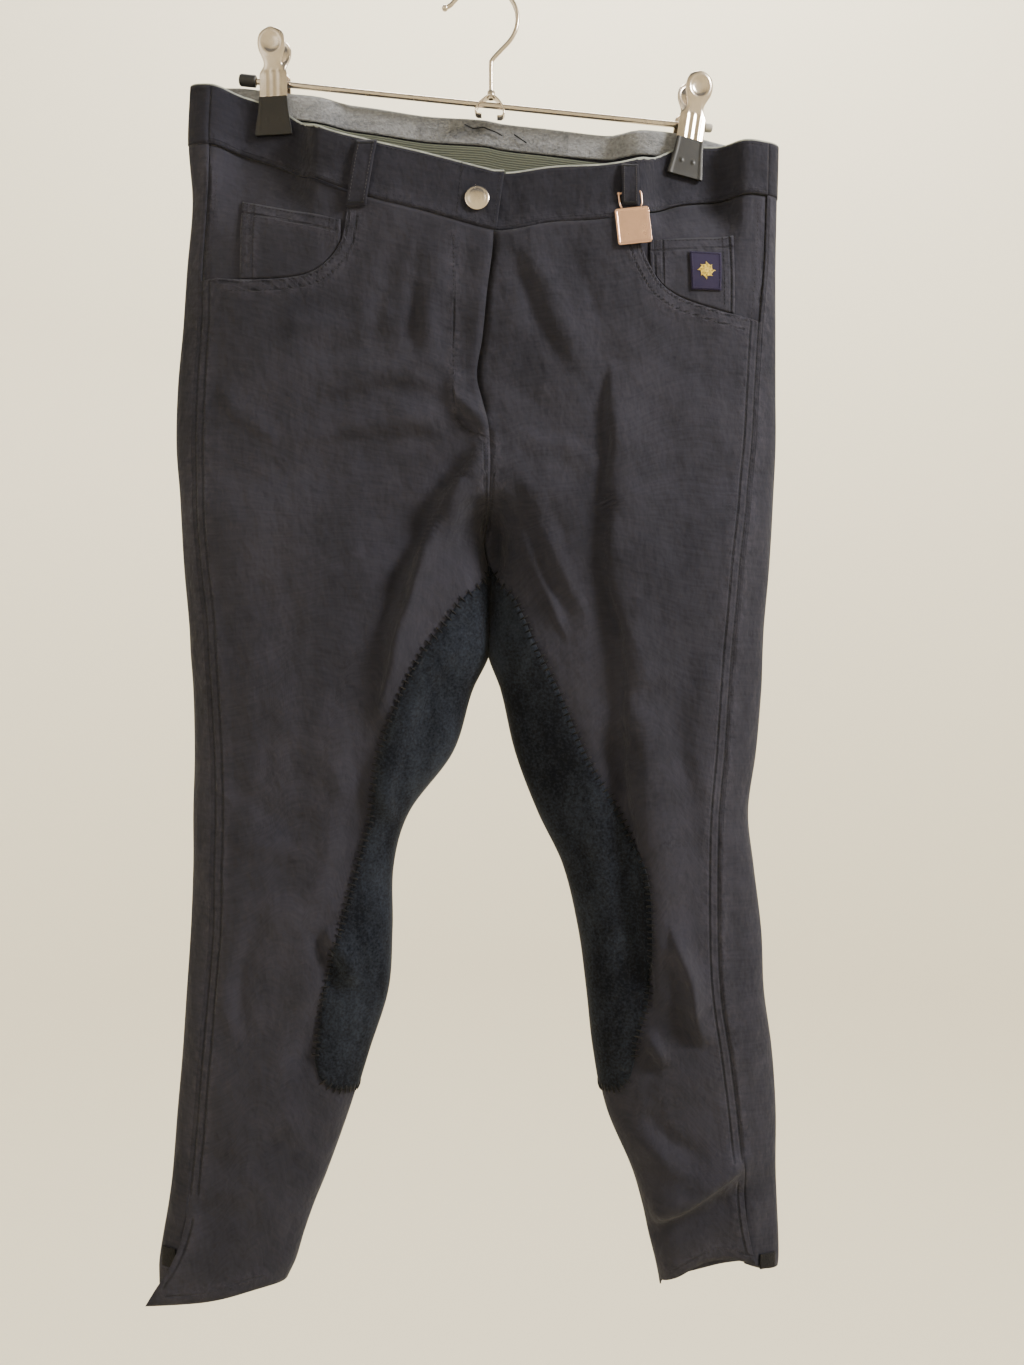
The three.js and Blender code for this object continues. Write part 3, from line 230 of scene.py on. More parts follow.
CREASES = {
    "front": [
        # The dark hollow between the thighs.
        (9, -19, [(7, -393), (10, -421), (7, -450)]),
        # Pulls that run from the crotch.
        (5, 3.4, [(1, -361), (-22, -391), (-38, -418), (-49, -455), (-68, -522), (-76, -548)]),
        (6, -3.4, [(-8, -352), (-32, -384), (-49, -414), (-60, -450), (-80, -520)]),
        (5, -2.4, [(8, -368), (28, -395), (45, -440), (66, -505)]),
        (6, 2.6, [(16, -362), (40, -392), (58, -440), (80, -505)]),
        (7, -2.2, [(-26, -345), (-62, -352), (-96, -372)]),
        (6, 2.0, [(-24, -330), (-64, -334), (-104, -348)]),
        (7, -2.0, [(-28, -318), (-72, -316), (-118, -326)]),
        (6, 1.8, [(-30, -292), (-70, -300), (-110, -300)]),
        (7, -2.0, [(-36, -268), (-84, -282), (-140, -284)]),
        (8, 1.8, [(-60, -254), (-100, -264), (-150, -262)]),
        (7, -2.4, [(-40, -205), (-50, -240), (-46, -285)]),
        (6, 2.4, [(-30, -206), (-37, -250), (-34, -300)]),
        (8, -2.0, [(-62, -196), (-74, -240), (-76, -290)]),
        (8, -2.2, [(24, -206), (36, -250), (60, -300)]),
        (8, 2.2, [(36, -204), (52, -250), (76, -300)]),
        (7, -1.8, [(62, -200), (76, -232), (84, -270)]),
        (9, -2.0, [(20, -300), (42, -330), (56, -372)]),
        # The thighs and knees.
        (9, -2.6, [(-84, -560), (-92, -620), (-106, -690)]),
        (9, 2.2, [(-100, -540), (-108, -620), (-122, -700)]),
        (10, -1.8, [(-130, -520), (-136, -600), (-150, -690)]),
        (9, 1.6, [(-170, -470), (-166, -560), (-172, -640)]),
        (8, -2.0, [(-190, -600), (-150, -628), (-118, -634)]),
        (8, 1.8, [(-186, -640), (-148, -652), (-124, -668)]),
        (9, -2.0, [(150, -470), (146, -560), (152, -640)]),
        (8, 1.6, [(166, -500), (162, -580), (164, -650)]),
        # The shins.
        (6, 3.4, [(140, -716), (153, -751), (163, -795)]),
        (6, -2.7, [(131, -722), (143, -756), (151, -800)]),
        (5, 2.8, [(121, -788), (132, -808)]),
        (5, -2.4, [(118, -800), (128, -822)]),
        (7, -2.7, [(118, -846), (142, -870), (170, -880)]),
        (7, 2.4, [(112, -862), (140, -888), (176, -896)]),
        (6, 2.7, [(-116, -710), (-101, -732), (-101, -750)]),
        (6, -2.8, [(-128, -708), (-114, -734), (-112, -760)]),
        (9, -2.7, [(-102, -748), (-118, -776), (-134, -806), (-150, -840)]),
        (9, 2.6, [(-120, -742), (-138, -776), (-156, -812)]),
        (7, -2.2, [(-166, -700), (-178, -745), (-176, -790)]),
        (7, 2.0, [(-180, -706), (-190, -750), (-188, -800)]),
        (8, -2.0, [(-140, -860), (-170, -880), (-206, -884)]),
        (8, 1.8, [(-142, -886), (-176, -906), (-210, -908)]),
        # The fly's foot, where the flap twists.
        (5, 4.1, [(-17, -316), (-8, -330), (3, -345)]),
        (4, -3.7, [(-19, -330), (-12, -338), (-4, -346)]),
    ],
    "back": [
        # Similar creases on the back: under the seat, behind the knees and down the calves.
        (7, -3.7, [(-14, -400), (-60, -424), (-118, -438), (-168, -436)]),
        (7, 3.1, [(-12, -418), (-64, -444), (-120, -460), (-170, -456)]),
        (6, -2.7, [(-10, -440), (-54, -466), (-104, -486)]),
        (7, -3.7, [(22, -400), (66, -426), (120, -442), (166, -446)]),
        (7, 3.1, [(20, -420), (66, -446), (118, -464), (164, -470)]),
        (6, -2.7, [(20, -444), (58, -470), (100, -494)]),
        (8, -2.4, [(-30, -250), (-70, -290), (-120, -300)]),
        (8, 2.2, [(34, -256), (80, -286), (130, -310)]),
        (9, -2.4, [(-180, -280), (-150, -330), (-120, -390)]),
        (9, -2.4, [(180, -290), (154, -340), (130, -396)]),
        (8, -3.4, [(-86, -622), (-130, -634), (-196, -628)]),
        (8, 2.9, [(-84, -642), (-134, -656), (-200, -650)]),
        (8, -3.1, [(-90, -668), (-138, -680), (-196, -684)]),
        (8, -3.4, [(66, -618), (120, -634), (180, -630)]),
        (8, 2.9, [(72, -640), (122, -654), (184, -650)]),
        (8, -3.1, [(84, -668), (136, -684), (184, -680)]),
        (9, -2.8, [(-120, -740), (-160, -790), (-176, -850)]),
        (9, 2.4, [(-140, -736), (-178, -790), (-194, -850)]),
        (9, -2.8, [(110, -746), (150, -800), (164, -860)]),
        (9, 2.4, [(128, -740), (170, -796), (184, -858)]),
        (8, -3.0, [(-150, -890), (-186, -900), (-224, -898)]),
        (8, -3.0, [(132, -886), (168, -900), (206, -896)]),
    ],
}
# Folds with one steep side, on the left of a line that runs down. A row gives the widths of
# the steep and the soft side, the height and the line.
STEPS = {
    "front": [
        (3.0, 17, 7.5, [(94, -292), (96, -355), (92, -420), (96, -462), (107, -494), (107, -560)]),
        (3.0, 17, 7.5, [(108, -535), (107, -585), (111, -606), (119, -660), (119, -701),
                        (127, -742), (131, -768)]),
        (3.2, 12, 6.5, [(1, -361), (-22, -391), (-38, -418), (-49, -455), (-68, -522), (-77, -560)]),
        (3.0, 8, 3.6, [(3, -356), (-14, -378), (-24, -400), (-28, -430)]),
        (3.0, 9, 3.4, [(22, -404), (32, -430), (52, -474), (66, -500)]),
        (2.8, 10, 4.6, [(138, -706), (153, -751), (163, -798)]),
        (2.8, 8, 3.6, [(121, -786), (133, -812)]),
        (2.8, 15, 5.0, [(127, -930), (150, -917), (170, -901), (193, -885)]),
        (3.0, 12, 2.2, [(96, -372), (60, -352), (30, -350)]),
        (3.0, 12, 2.2, [(-150, -356), (-100, -344), (-50, -340), (-26, -346)]),
        (3.0, 12, 1.8, [(-120, -318), (-80, -306), (-34, -306)]),
        (2.8, 9, 4.0, [(-116, -708), (-101, -734), (-101, -752)]),
        (3.0, 11, 8.0, [(-69, -632), (-70, -604), (-63, -579), (-42, -530), (-13, -489)]),
        (2.8, 8, 3.8, [(-23, -300), (-20, -318), (-8, -334), (3, -347)]),
        (3.0, 10, 2.8, [(-40, -200), (-46, -232), (-42, -270), (-46, -300)]),
        (3.2, 12, 2.8, [(30, -204), (44, -250), (70, -300)]),
        (3.2, 10, 1.6, [(-196, -306), (-182, -330), (-150, -352)]),
    ],
    "back": [
        (3.2, 12, 3.6, [(-110, -560), (-104, -640), (-112, -720)]),
        (3.2, 12, 3.2, [(70, -520), (86, -600), (104, -690)]),
        (3.2, 12, 3.0, [(-40, -220), (-52, -290), (-44, -360)]),
        (3.2, 12, 3.0, [(60, -230), (70, -300), (62, -370)]),
        (3.0, 9, 2.6, [(-160, -780), (-176, -840), (-190, -880)]),
        (3.0, 9, 2.6, [(136, -770), (150, -830), (164, -880)]),
    ],
}


def power(value):
    return np.sign(value) * np.abs(value) ** ROUND


def unpower(value):
    return np.sign(value) * np.abs(value) ** (1 / ROUND)


def ease(value, start, end):
    t = np.clip((value - start) / (end - start), 0, 1)
    return t * t * (3 - 2 * t)


def openness(z):
    """1 where the halves are open at the centre, 0 where a leg is a closed tube."""
    return ease(z, CROTCH, RISE_STRAIGHT_TO)


def start_angle(z):
    return (math.pi / 2) * openness(z)


def inner_x(leg, z, front):
    centre = np.where(front, FRONT_CENTRE.at("x", z), BACK_CENTRE.at("x", z))
    line = np.where(z > LEGS_PART, centre, leg.at("inner", z))
    return line + leg.side * INNER_LEG_CLEARANCE * (1 - openness(z)) ** 2


def along_line(line, x, z):
    """How far each point is from a bent line, how far along it the nearest place is, and
    which side of the line the point is on: 1 to the right of a line that runs down."""
    line = np.array(line, float)
    lengths = np.linalg.norm(np.diff(line, axis=0), axis=1)
    starts = np.concatenate([[0], np.cumsum(lengths)])
    best = np.full(np.shape(x), np.inf)
    share, side = np.zeros(np.shape(x)), np.zeros(np.shape(x))
    for (x1, z1), (x2, z2), length, start in zip(line, line[1:], lengths, starts):
        t = np.clip(((x - x1) * (x2 - x1) + (z - z1) * (z2 - z1)) / length**2, 0, 1)
        distance = np.hypot(x - x1 - t * (x2 - x1), z - z1 - t * (z2 - z1))
        nearer = distance < best
        best = np.where(nearer, distance, best)
        share = np.where(nearer, (start + t * length) / starts[-1], share)
        cross = (x - x1) * (z1 - z2) + (z - z1) * (x2 - x1)
        side = np.where(nearer, np.sign(cross), side)
    return best, share, side


def ridge(line, x, z, left, right, height, fading=None):
    """A ridge along a line, with a width for each side. It can fade towards its ends."""
    distance, share, side = along_line(line, x, z)
    ends = 1 if fading is None else 1 - np.abs(2 * share - 1) ** fading
    return height * ends * np.exp(-((distance / np.where(side > 0, right, left)) ** 2))


def relief(front, x, z):
    """How far the cloth stands out: folds, creases and a soft unevenness."""
    total = np.zeros(np.shape(x))
    bent_x = x + 2.2 * np.sin(z / 17 + x / 41) + 1.1 * np.sin(z / 7.3)
    bent_z = z + 2.2 * np.sin(x / 19 - z / 37)
    wavy_x = x + 0.8 * np.sin(z / 9)
    for face in ("front", "back"):
        raised = np.zeros(np.shape(x))
        for width, height, line in FOLDS[face]:
            raised += ridge(line, x, z, width, width, height)
        for width, height, line in CREASES[face]:
            raised += ridge(line, bent_x, bent_z, width, width, height, 4)
        for steep, soft, height, line in STEPS[face]:
            raised += ridge(line, wavy_x, z, steep, soft, height, 6)
        total += np.where(front == (face == "front"), raised, 0)
    other = np.where(front, 0, 2)
    uneven = np.sin(x / 23 + z / 61 + other) * np.sin(z / 37 - x / 71) * 1.0
    uneven += np.sin(x / 11 - z / 29 + 2 * other) * np.sin(z / 13 + x / 31) * 0.45
    return total + uneven * ease(z, -140, -230)


def pinch(x, y, z):
    """The waist is held flat in each clip, and the hold fades out below the jaws."""
    result = y
    for clip in CLIPS:
        outside = (x - clip["jaw_x"]) * np.sign(clip["jaw_x"]) > 0
        front_reach = np.where(outside, PINCH["toward_side"], PINCH["toward_centre"])
        reach = np.where(y < 0, front_reach, PINCH["back"])
        near = np.exp(-(np.abs((x - clip["jaw_x"]) / reach) ** 6))
        fade = ease(z, clip["jaw_bottom"] - PINCH["fade"], clip["jaw_bottom"] - 5)
        turned = (x - clip["x"]) * math.tan(math.radians(clip["turn"]))
        target = np.sign(y) * PINCH["half"] + turned
        result = result + (target - result) * PINCH["hold"] * near * fade
    return result


def surface(leg, angle, z):
    """A point of the cloth. The angle runs from the inseam over the front and the back."""
    angle, z = np.broadcast_arrays(np.asarray(angle, float), np.asarray(z, float))
    start = power(np.cos(start_angle(z)))
    across = (start - power(np.cos(angle))) / (start + 1)
    sine = np.sin(angle)
    front = sine > 0
    inner = inner_x(leg, z, front)
    x = inner + (leg.at("outer", z) - inner) * across
    depth = np.where(front, leg.at("front", z), leg.at("back", z))
    fold = relief(front, x, z) * np.minimum(1, np.abs(sine) * 2)
    y = pinch(x, -power(sine) * depth, z) - np.sign(sine) * fold
    return np.stack([x, y, z], axis=-1)


def angle_at(leg, x, z, front):
    start = power(np.cos(start_angle(z)))
    inner = inner_x(leg, z, front)
    across = (x - inner) / (leg.at("outer", z) - inner)
    angle = np.arccos(np.clip(unpower(start - across * (start + 1)), -1, 1))
    return angle if front else 2 * math.pi - angle


def site(leg, angle, z):
    """Points of the cloth with their outward directions."""
    turn = surface(leg, angle + 0.01, z) - surface(leg, angle - 0.01, z)
    up = surface(leg, angle, z + 1.2) - surface(leg, angle, z - 1.2)
    normal = np.cross(turn, up) * leg.side
    normal /= np.linalg.norm(normal, axis=-1, keepdims=True) + 1e-9
    return surface(leg, angle, z), normal


def shaped_height(leg, angle, level):
    """A row's height, once the waist and the hem are shaped."""
    front = np.sin(angle) > 0
    reach = np.maximum(0, -power(np.cos(angle)))
    waist_x = CLOSING_X + (leg.at("outer", WAIST_LEVEL) - CLOSING_X) * reach
    hem_inner = leg.at("inner", HEM_LEVEL)
    share = (1 - power(np.cos(angle))) / 2
    hem_x = hem_inner + (leg.at("outer", HEM_LEVEL) - hem_inner) * share
    waist = np.where(front, WAIST.at("front_seam", waist_x), WAIST.at("back_seam", waist_x))
    hem = np.where(front, HEM.at("front", hem_x), HEM.at("back", hem_x))
    near_waist = ease(level, WAIST_SHAPING_ENDS, WAIST_LEVEL)
    near_hem = 1 - ease(level, HEM_LEVEL, HEM_SHAPING_STARTS)
    return level + near_waist * (waist - WAIST_LEVEL) + near_hem * (hem - HEM_LEVEL)


def wrap_x(leg, z):
    return leg.at("seam", np.maximum(z, leg.slit_top - SLIT_LIFT_LENGTH))


def lane_angle(leg, z, face, lane):
    """The angle of a lane: 0 to 1 and 1 to 2 lie on either side of the seat patch's edge."""
    start = start_angle(z)
    seam = angle_at(leg, wrap_x(leg, z), z, True)
    if face == "front":
        ends = start, angle_at(leg, leg.at("patch_front", z), z, True), seam
    else:
        ends = seam, angle_at(leg, leg.at("patch_back", z), z, False), 2 * math.pi - start
    first, second = np.clip(lane, 0, 1), np.clip(lane - 1, 0, 1)
    return ends[0] + (ends[1] - ends[0]) * first + (ends[2] - ends[1]) * second


def panel_site(leg, face, lane, level, trim=0.15):
    """Points of one panel, given its lane across and its row's level."""
    flat = lane_angle(leg, level, face, lane)
    angle = lane_angle(leg, shaped_height(leg, flat, level), face, lane)
    z = shaped_height(leg, angle, level) - np.where(level > WAIST_LEVEL - 0.01, trim, 0)
    points, normals = site(leg, angle, z)
    if face == "front":
        sideways = np.clip(lane / 2, 0, 1)
        below = z < leg.slit_top
        free = ease(leg.slit_top - z, 0, SLIT_LIFT_LENGTH)
        share = ease(lane, 1.0, 2.0) * 0.6 + 0.4 * sideways**3
        points[..., 0] += np.where(below, (leg.at("seam", z) - wrap_x(leg, z)) * share**3, 0)
        points[..., 1] -= np.where(below, leg.flap_lift * share**3 * free, 0)
        points, normals = lift_fly(leg, points, normals)
    return points, normals


# The fly: the right front laps over the left, so its edge stands forward and its partner sinks.
FLY = {"top": -196, "foot": -338, "reach": 15, "lift": 2.2, "sink": 0.8}


def panel_place(leg, face, lanes):
    def place(across, down):
        return panel_site(leg, face, lanes(across), WAIST_LEVEL + (HEM_LEVEL - WAIST_LEVEL) * down)
    return place


def lift_fly(leg, points, normals):
    x, z = points[..., 0], points[..., 2]
    distance = np.abs(x - FRONT_CENTRE.at("x", z))
    near = np.exp(-((distance / FLY["reach"]) ** 2))
    window = ease(z, FLY["foot"] - 14, FLY["foot"] + 30) * (1 - ease(z, FLY["top"] - 14, FLY["top"]))
    amount = -FLY["lift"] if leg is RIGHT else FLY["sink"]
    points[..., 1] += amount * near * window
    return points, normals


def on_face(leg, face, x, z, offset=0.0):
    """Points on the front or back of a leg, moved outwards, with their directions."""
    x, z = np.asarray(x, float), np.asarray(z, float)
    points, normals = site(leg, angle_at(leg, x, z, face == "front"), z)
    if face == "front":
        points, normals = lift_fly(leg, points, normals)
    return points + normals * offset, normals


# Each leg's lines of sewing and edges, in the front view: a line is a list of (x, z).
def seam_line(leg, top, foot, inwards=0.0, step=8):
    z = np.arange(top, foot, -step)
    return list(zip(leg.at("seam", z) - leg.side * inwards, z))


def waist_line(column, drop, x_from, x_to):
    x = np.linspace(x_from, x_to, max(2, int(abs(x_to - x_from) / 6)))
    return list(zip(x, WAIST.at(column, x) - drop))


def hem_line(face, x_from, x_to, above=9):
    return [(x, HEM.at(face, x) + above) for x in np.arange(x_from, x_to, 6)]


POCKETS = {
    "right": {
        "corner": (-222, -110), "side_z": -226,
        "mouth": [(-99, -176), (-101, -188), (-104, -203), (-115, -218),
                  (-130, -227), (-152, -230), (-181, -229), (-197, -227)],
        "coin_top": [(-180, -168), (-105, -187)],
    },
    "left": {
        "corner": (222, -140), "side_z": -257,
        "mouth": [(112, -182), (115, -196), (118, -208), (123, -220),
                  (133, -235), (149, -245), (173, -252), (196, -256)],
        "coin_top": [(124, -199), (188, -194)],
    },
}


def smooth_line(points, pieces=40):
    """A soft curve through a few points (Catmull-Rom)."""
    points = np.array(points, float)
    padded = np.vstack([2 * points[0] - points[1], points, 2 * points[-1] - points[-2]])
    spans = len(points) - 1
    places = np.linspace(0, spans, pieces + 1)
    made = []
    for place in places:
        i = min(int(place), spans - 1)
        t = place - i
        a, b, c, d = padded[i : i + 4]
        made.append(0.5 * (2 * b + (c - a) * t + (2 * a - 5 * b + 4 * c - d) * t**2
                           + (3 * b - a - 3 * c + d) * t**3))
    return np.array(made)


def mouth_line(side, grow=0.0):
    """A pocket's mouth, moved away from the pocket's outer corner."""
    pocket = POCKETS[side]
    corner = np.array(pocket["corner"], float)
    away = np.array(pocket["mouth"], float) - corner
    reach = np.linalg.norm(away, axis=1, keepdims=True)
    return smooth_line(corner + away * (reach + grow) / reach)


def past_mouth(side, x, z, grow=0.0):
    """Signed distance from the mouth: above 0 on the panel, below 0 inside the pocket."""
    line = mouth_line(side, grow)
    pocket = POCKETS[side]
    outward = np.sign(pocket["corner"][0])
    beyond = pocket["corner"][0] + outward * 30
    rim = np.vstack([[line[0][0], pocket["corner"][1] + 60], line, [beyond, pocket["side_z"] - grow]])
    distance = along_line(rim, x, z)[0]
    ring = np.vstack([rim, [beyond, pocket["corner"][1] + 60]])
    inside = np.zeros(np.shape(x), bool)
    for (x1, z1), (x2, z2) in zip(ring, np.roll(ring, -1, axis=0)):
        if z1 != z2:
            crosses = ((z1 > z) != (z2 > z)) & (x < (x2 - x1) * (z - z1) / (z2 - z1) + x1)
            inside ^= crosses
    return np.where(inside, -distance, distance)


def on_line(line, shares):
    """The points of a bent line at some shares of its length."""
    line = np.array(line, float)
    reached = np.concatenate([[0], np.cumsum(np.linalg.norm(np.diff(line, axis=0), axis=1))])
    return np.stack([np.interp(shares * reached[-1], reached, column) for column in line.T], axis=-1)


def nearest_on(line, x, z):
    """The nearest place on a bent line to each point."""
    return on_line(line, along_line(line, x, z)[1])


FLY_STITCH = [(-21, -200), (-21, -262), (-20.5, -322), (-18, -336), (-10, -344), (2, -348)]
SEWN_FRONT = {
    "right": {
        "felled": [seam_line(RIGHT, -150, -918, 7), seam_line(RIGHT, -150, -918, 1.2)],
        "mouth": [mouth_line("right", 9)[2:], mouth_line("right", 2)[1:]],
        "fly": [smooth_line(FLY_STITCH, 30)],
        "rise": [[(4.2, -350), (3.2, -388), (-2, -418)], [(1.8, -350), (1.2, -386)]],
        "hem": [hem_line("front", -236, -158)],
        "slit": [[(leg_x + 5, z) for leg_x, z in seam_line(RIGHT, -926, -985, 0, 6)]],
    },
    "left": {
        "felled": [seam_line(LEFT, -170, -890, 7.5), seam_line(LEFT, -170, -890, 1.2)],
        "mouth": [mouth_line("left", 9)[2:], mouth_line("left", 2)[1:]],
        "fly": [],
        "rise": [[(8.4, -350), (8.2, -388), (3.4, -418)]],
        "hem": [hem_line("front", 140, 206)],
        "slit": [[(leg_x - 5, z) for leg_x, z in seam_line(LEFT, -899, -958, 0, 6)]],
    },
}


FAR = 60.0


def sewn_distance(lines, x, z):
    """How far each point is from the nearest of some lines of sewing, up to FAR."""
    nearest = np.full(np.shape(x), FAR)
    for line in lines:
        nearest = np.minimum(nearest, along_line(line, x, z)[0])
    return nearest


def new_piece(name, mesh, body=GARMENT):
    piece = bpy.data.objects.new(name, mesh)
    bpy.context.scene.collection.objects.link(piece)
    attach(piece, body)
    return piece


def mesh_of(name, bm, smooth=True):
    mesh = bpy.data.meshes.new(name)
    bm.to_mesh(mesh)
    bm.free()
    if smooth:
        mesh.shade_smooth()
    return mesh


def thicken(piece, thick):
    shell = piece.modifiers.new("thickness", "SOLIDIFY")
    shell.thickness, shell.offset = thick * MM, 0


def lay_cloth(name, rows, columns, place, thickness, cut=None, snap=None, seams=None):
    """A sheet of cloth: a grid whose vertices are put in place from their two shares, cut
    along a line where one is given, and thickened to both sides. Its UV map is the
    cloth's own length and width, and "seam" holds the distance to the nearest sewing."""
    bm = bmesh.new()
    bmesh.ops.create_grid(bm, x_segments=columns, y_segments=rows, size=0.5)
    flat = np.array([v.co.to_tuple() for v in bm.verts])
    across, down = np.round(flat[:, 0] + 0.5, 6), np.round(0.5 - flat[:, 1], 6)
    points, normals = place(across, down)
    order = np.lexsort((across, down)).reshape(rows + 1, columns + 1)
    u, v = np.zeros(len(points)), np.zeros(len(points))
    u[order[:, 1:]] = np.cumsum(np.linalg.norm(np.diff(points[order], axis=1), axis=2), axis=1)
    v[order[1:, :]] = np.cumsum(np.linalg.norm(np.diff(points[order], axis=0), axis=2), axis=0)
    if cut is not None:
        depth = cut(points[:, 0], points[:, 2])
        vertices = bm.verts[:]
        gone = [f for f in bm.faces if all(depth[w.index] < 0 for w in f.verts)]
        over = depth < 0
        bmesh.ops.delete(bm, geom=gone, context="FACES")
        moved, turned = snap(points[over, 0], points[over, 2])
        points[over], normals[over] = moved, turned
        kept = np.array([vertex.is_valid for vertex in vertices])
        points, normals, u, v = points[kept], normals[kept], u[kept], v[kept]
    for vertex, point in zip(bm.verts, points):
        vertex.co = Vector(point) * MM
    bm.verts.index_update()
    bm.normal_update()
    agreement = sum(w.normal.dot(Vector(n)) for w, n in zip(bm.verts, normals))
    if agreement < 0:
        bmesh.ops.reverse_faces(bm, faces=bm.faces[:])
    mesh = mesh_of(name, bm)
    corners = np.zeros(len(mesh.loops), int)
    mesh.loops.foreach_get("vertex_index", corners)
    cloth_map = mesh.uv_layers.new(name="cloth")
    cloth_map.data.foreach_set("uv", (np.stack([u, v], axis=1)[corners] * MM).ravel())
    distance = np.full(len(points), FAR) if seams is None else seams(points[:, 0], points[:, 2])
    mesh.attributes.new("seam", "FLOAT", "POINT").data.foreach_set("value", distance)
    piece = new_piece(name, mesh)
    thicken(piece, thickness)
    return piece


def straight_lanes(inner, outer, face):
    """Turns an even share across a panel into a lane, with the seat patch's edge on a column."""
    total = inner + outer
    first = inner / total if face == "front" else outer / total

    def lane(across):
        return np.where(across < first, across / first, 1 + (across - first) / (1 - first))

    return total, lane


class Wire:
    """An output of a material's node, with arithmetic that adds Math nodes."""

    def __init__(self, tree, socket=None):
        self.tree, self.socket = tree, socket

    def node(self, kind, settings=None, sockets=None, output=0):
        """Any other node: its settings first, then the values or links of its sockets."""
        made = self.tree.nodes.new(kind)
        for name, value in (settings or {}).items():
            setattr(made, name, value)
        for name, value in (sockets or {}).items():
            if isinstance(value, Wire):
                self.tree.links.new(value.socket, made.inputs[name])
            else:
                made.inputs[name].default_value = value
        return Wire(self.tree, made.outputs[output])

    def maths(self, operation, *values):
        return self.node("ShaderNodeMath", {"operation": operation}, dict(enumerate(values)))

    def __add__(self, other):
        return self.maths("ADD", self, other)

    def __sub__(self, other):
        return self.maths("SUBTRACT", self, other)

    def __rsub__(self, other):
        return self.maths("SUBTRACT", other, self)

    def __mul__(self, other):
        return self.maths("MULTIPLY", self, other)

    __radd__, __rmul__ = __add__, __mul__

    def sine(self):
        return self.maths("SINE", self)

    def waves(self, pitch):
        """Even waves from 0 to 1."""
        return (self * (2 * math.pi / pitch)).sine() * 0.5 + 0.5

    def clipped(self, low, high):
        """0 below low, 1 above high, and even between."""
        return self.node("ShaderNodeMapRange", {"clamp": True},
                         {"Value": self, "From Min": low, "From Max": high})

    def noise(self, coordinates, scale, detail=3.0, roughness=0.55, stretch=(1, 1, 1)):
        moved = self.node("ShaderNodeMapping", sockets={"Vector": coordinates, "Scale": stretch})
        return self.node("ShaderNodeTexNoise", sockets={
            "Vector": moved, "Scale": scale, "Detail": detail, "Roughness": roughness})

    def mix(self, share, first, second):
        """A blend of two colours."""
        first, second = (c if isinstance(c, Wire) else (*c, 1) for c in (first, second))
        return self.node("ShaderNodeMix", {"data_type": "RGBA"}, {0: share, 6: first, 7: second}, 2)

    def place(self):
        """The place on the object, in metres."""
        return self.node("ShaderNodeTexCoord", output=3)

    def cloth_map(self):
        """The place on the flat cloth, and its two shares, in metres."""
        flat = self.node("ShaderNodeUVMap", {"uv_map": "cloth"})
        u = self.node("ShaderNodeSeparateXYZ", sockets={"Vector": flat})
        return flat, u, Wire(self.tree, u.socket.node.outputs[1])


def new_finish(name, colour, roughness, metallic=0.0, **constants):
    """A material with its shader's constants set, and a Wire to start its nodes from."""
    material = bpy.data.materials.new(name)
    material.use_nodes = True
    tree = material.node_tree
    shader = tree.nodes["Principled BSDF"]
    shader.inputs["Base Color"].default_value = (*colour, 1)
    shader.inputs["Roughness"].default_value = roughness
    shader.inputs["Metallic"].default_value = metallic
    for key, value in constants.items():
        shader.inputs[key.replace("_", " ")].default_value = value
    return material, shader, Wire(tree)


def drive(shader, **sockets):
    for name, wire in sockets.items():
        wire.tree.links.new(wire.socket, shader.inputs[name.replace("_", " ").title()])


def bumped(wire, height, strength, distance_mm, under=None):
    sockets = {"Height": height, "Strength": strength, "Distance": distance_mm * MM}
    if under is not None:
        sockets["Normal"] = under
    return wire.node("ShaderNodeBump", {}, sockets)


def woven_cotton(name, dark, light, fade):
    """Brushed stretch cotton: a fine twill, faint slubs, soft mottling, paler sewn edges and painted shade
    on the stitch lines.
    """
    material, shader, start = new_finish(name, dark, 0.88, Specular_IOR_Level=0.14, Sheen_Weight=0.05,
                                         Sheen_Roughness=0.5)
    flat, u, v = start.cloth_map()
    place = start.place()
    seam = start.node("ShaderNodeAttribute", {"attribute_name": "seam"}, output=2)
    cloudy = start.noise(place, 9, 4)
    patchy = start.noise(place, 38, 4, 0.6)
    slubs = start.noise(flat, 240, 3, 0.6, (0.22, 1.6, 1))
    near_seam = 1 - seam.clipped(1.5, 9)
    on_seam = 1 - seam.clipped(0.2, 1.4)
    pucker = start.noise(place, 210, 2, 0.5)
    lightness = (cloudy - 0.5) * 0.8 + (patchy - 0.5) * 0.7 + (slubs - 0.5) * 0.6
    lightness = lightness + near_seam * (pucker - 0.32) * fade + 0.42
    colour = start.mix(lightness.clipped(0.0, 1.0), dark, light)
    # Painted shade: the cloth is painted darker right on each line of sewing, standing in for the shade of
    # the stitch groove that the bump cuts there.
    darker = tuple(c * 0.55 for c in dark)
    drive(shader, Base_Color=start.mix(on_seam * 0.5, colour, darker))
    twill = (u + v * 0.6).waves(0.00085) + (v - u * 0.25).waves(0.0009)
    fine = bumped(start, twill + slubs * 2.2, 0.35, 0.12)
    crumple = start.noise(place, 24, 4, 0.5, (1, 1, 0.7))
    small = start.noise(place, 95, 3, 0.6, (1, 1, 0.6))
    soft = bumped(start, crumple + small * 0.1, 1.0, 8.5, fine)
    sewn = bumped(start, near_seam * pucker * 1.5 - on_seam * 0.9, 0.8, 1.0, soft)
    drive(shader, Normal=sewn, Roughness=0.82 + patchy * 0.14)
    return material


CHARCOAL = woven_cotton("charcoal_cotton", (0.0085, 0.0088, 0.0142), (0.034, 0.0333, 0.0465), 1.0)
PANEL, BAND, PATCH, STRIP = 1.2, 2.2, 1.0, 1.0
PANEL_ROWS = 236
FRONT_LANES = straight_lanes(16, 108, "front")
BACK_LANES = straight_lanes(26, 60, "back")


def finish_piece(piece, material, slot, *nodes):
    piece.data.materials.append(material)
    if nodes:
        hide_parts(*nodes)


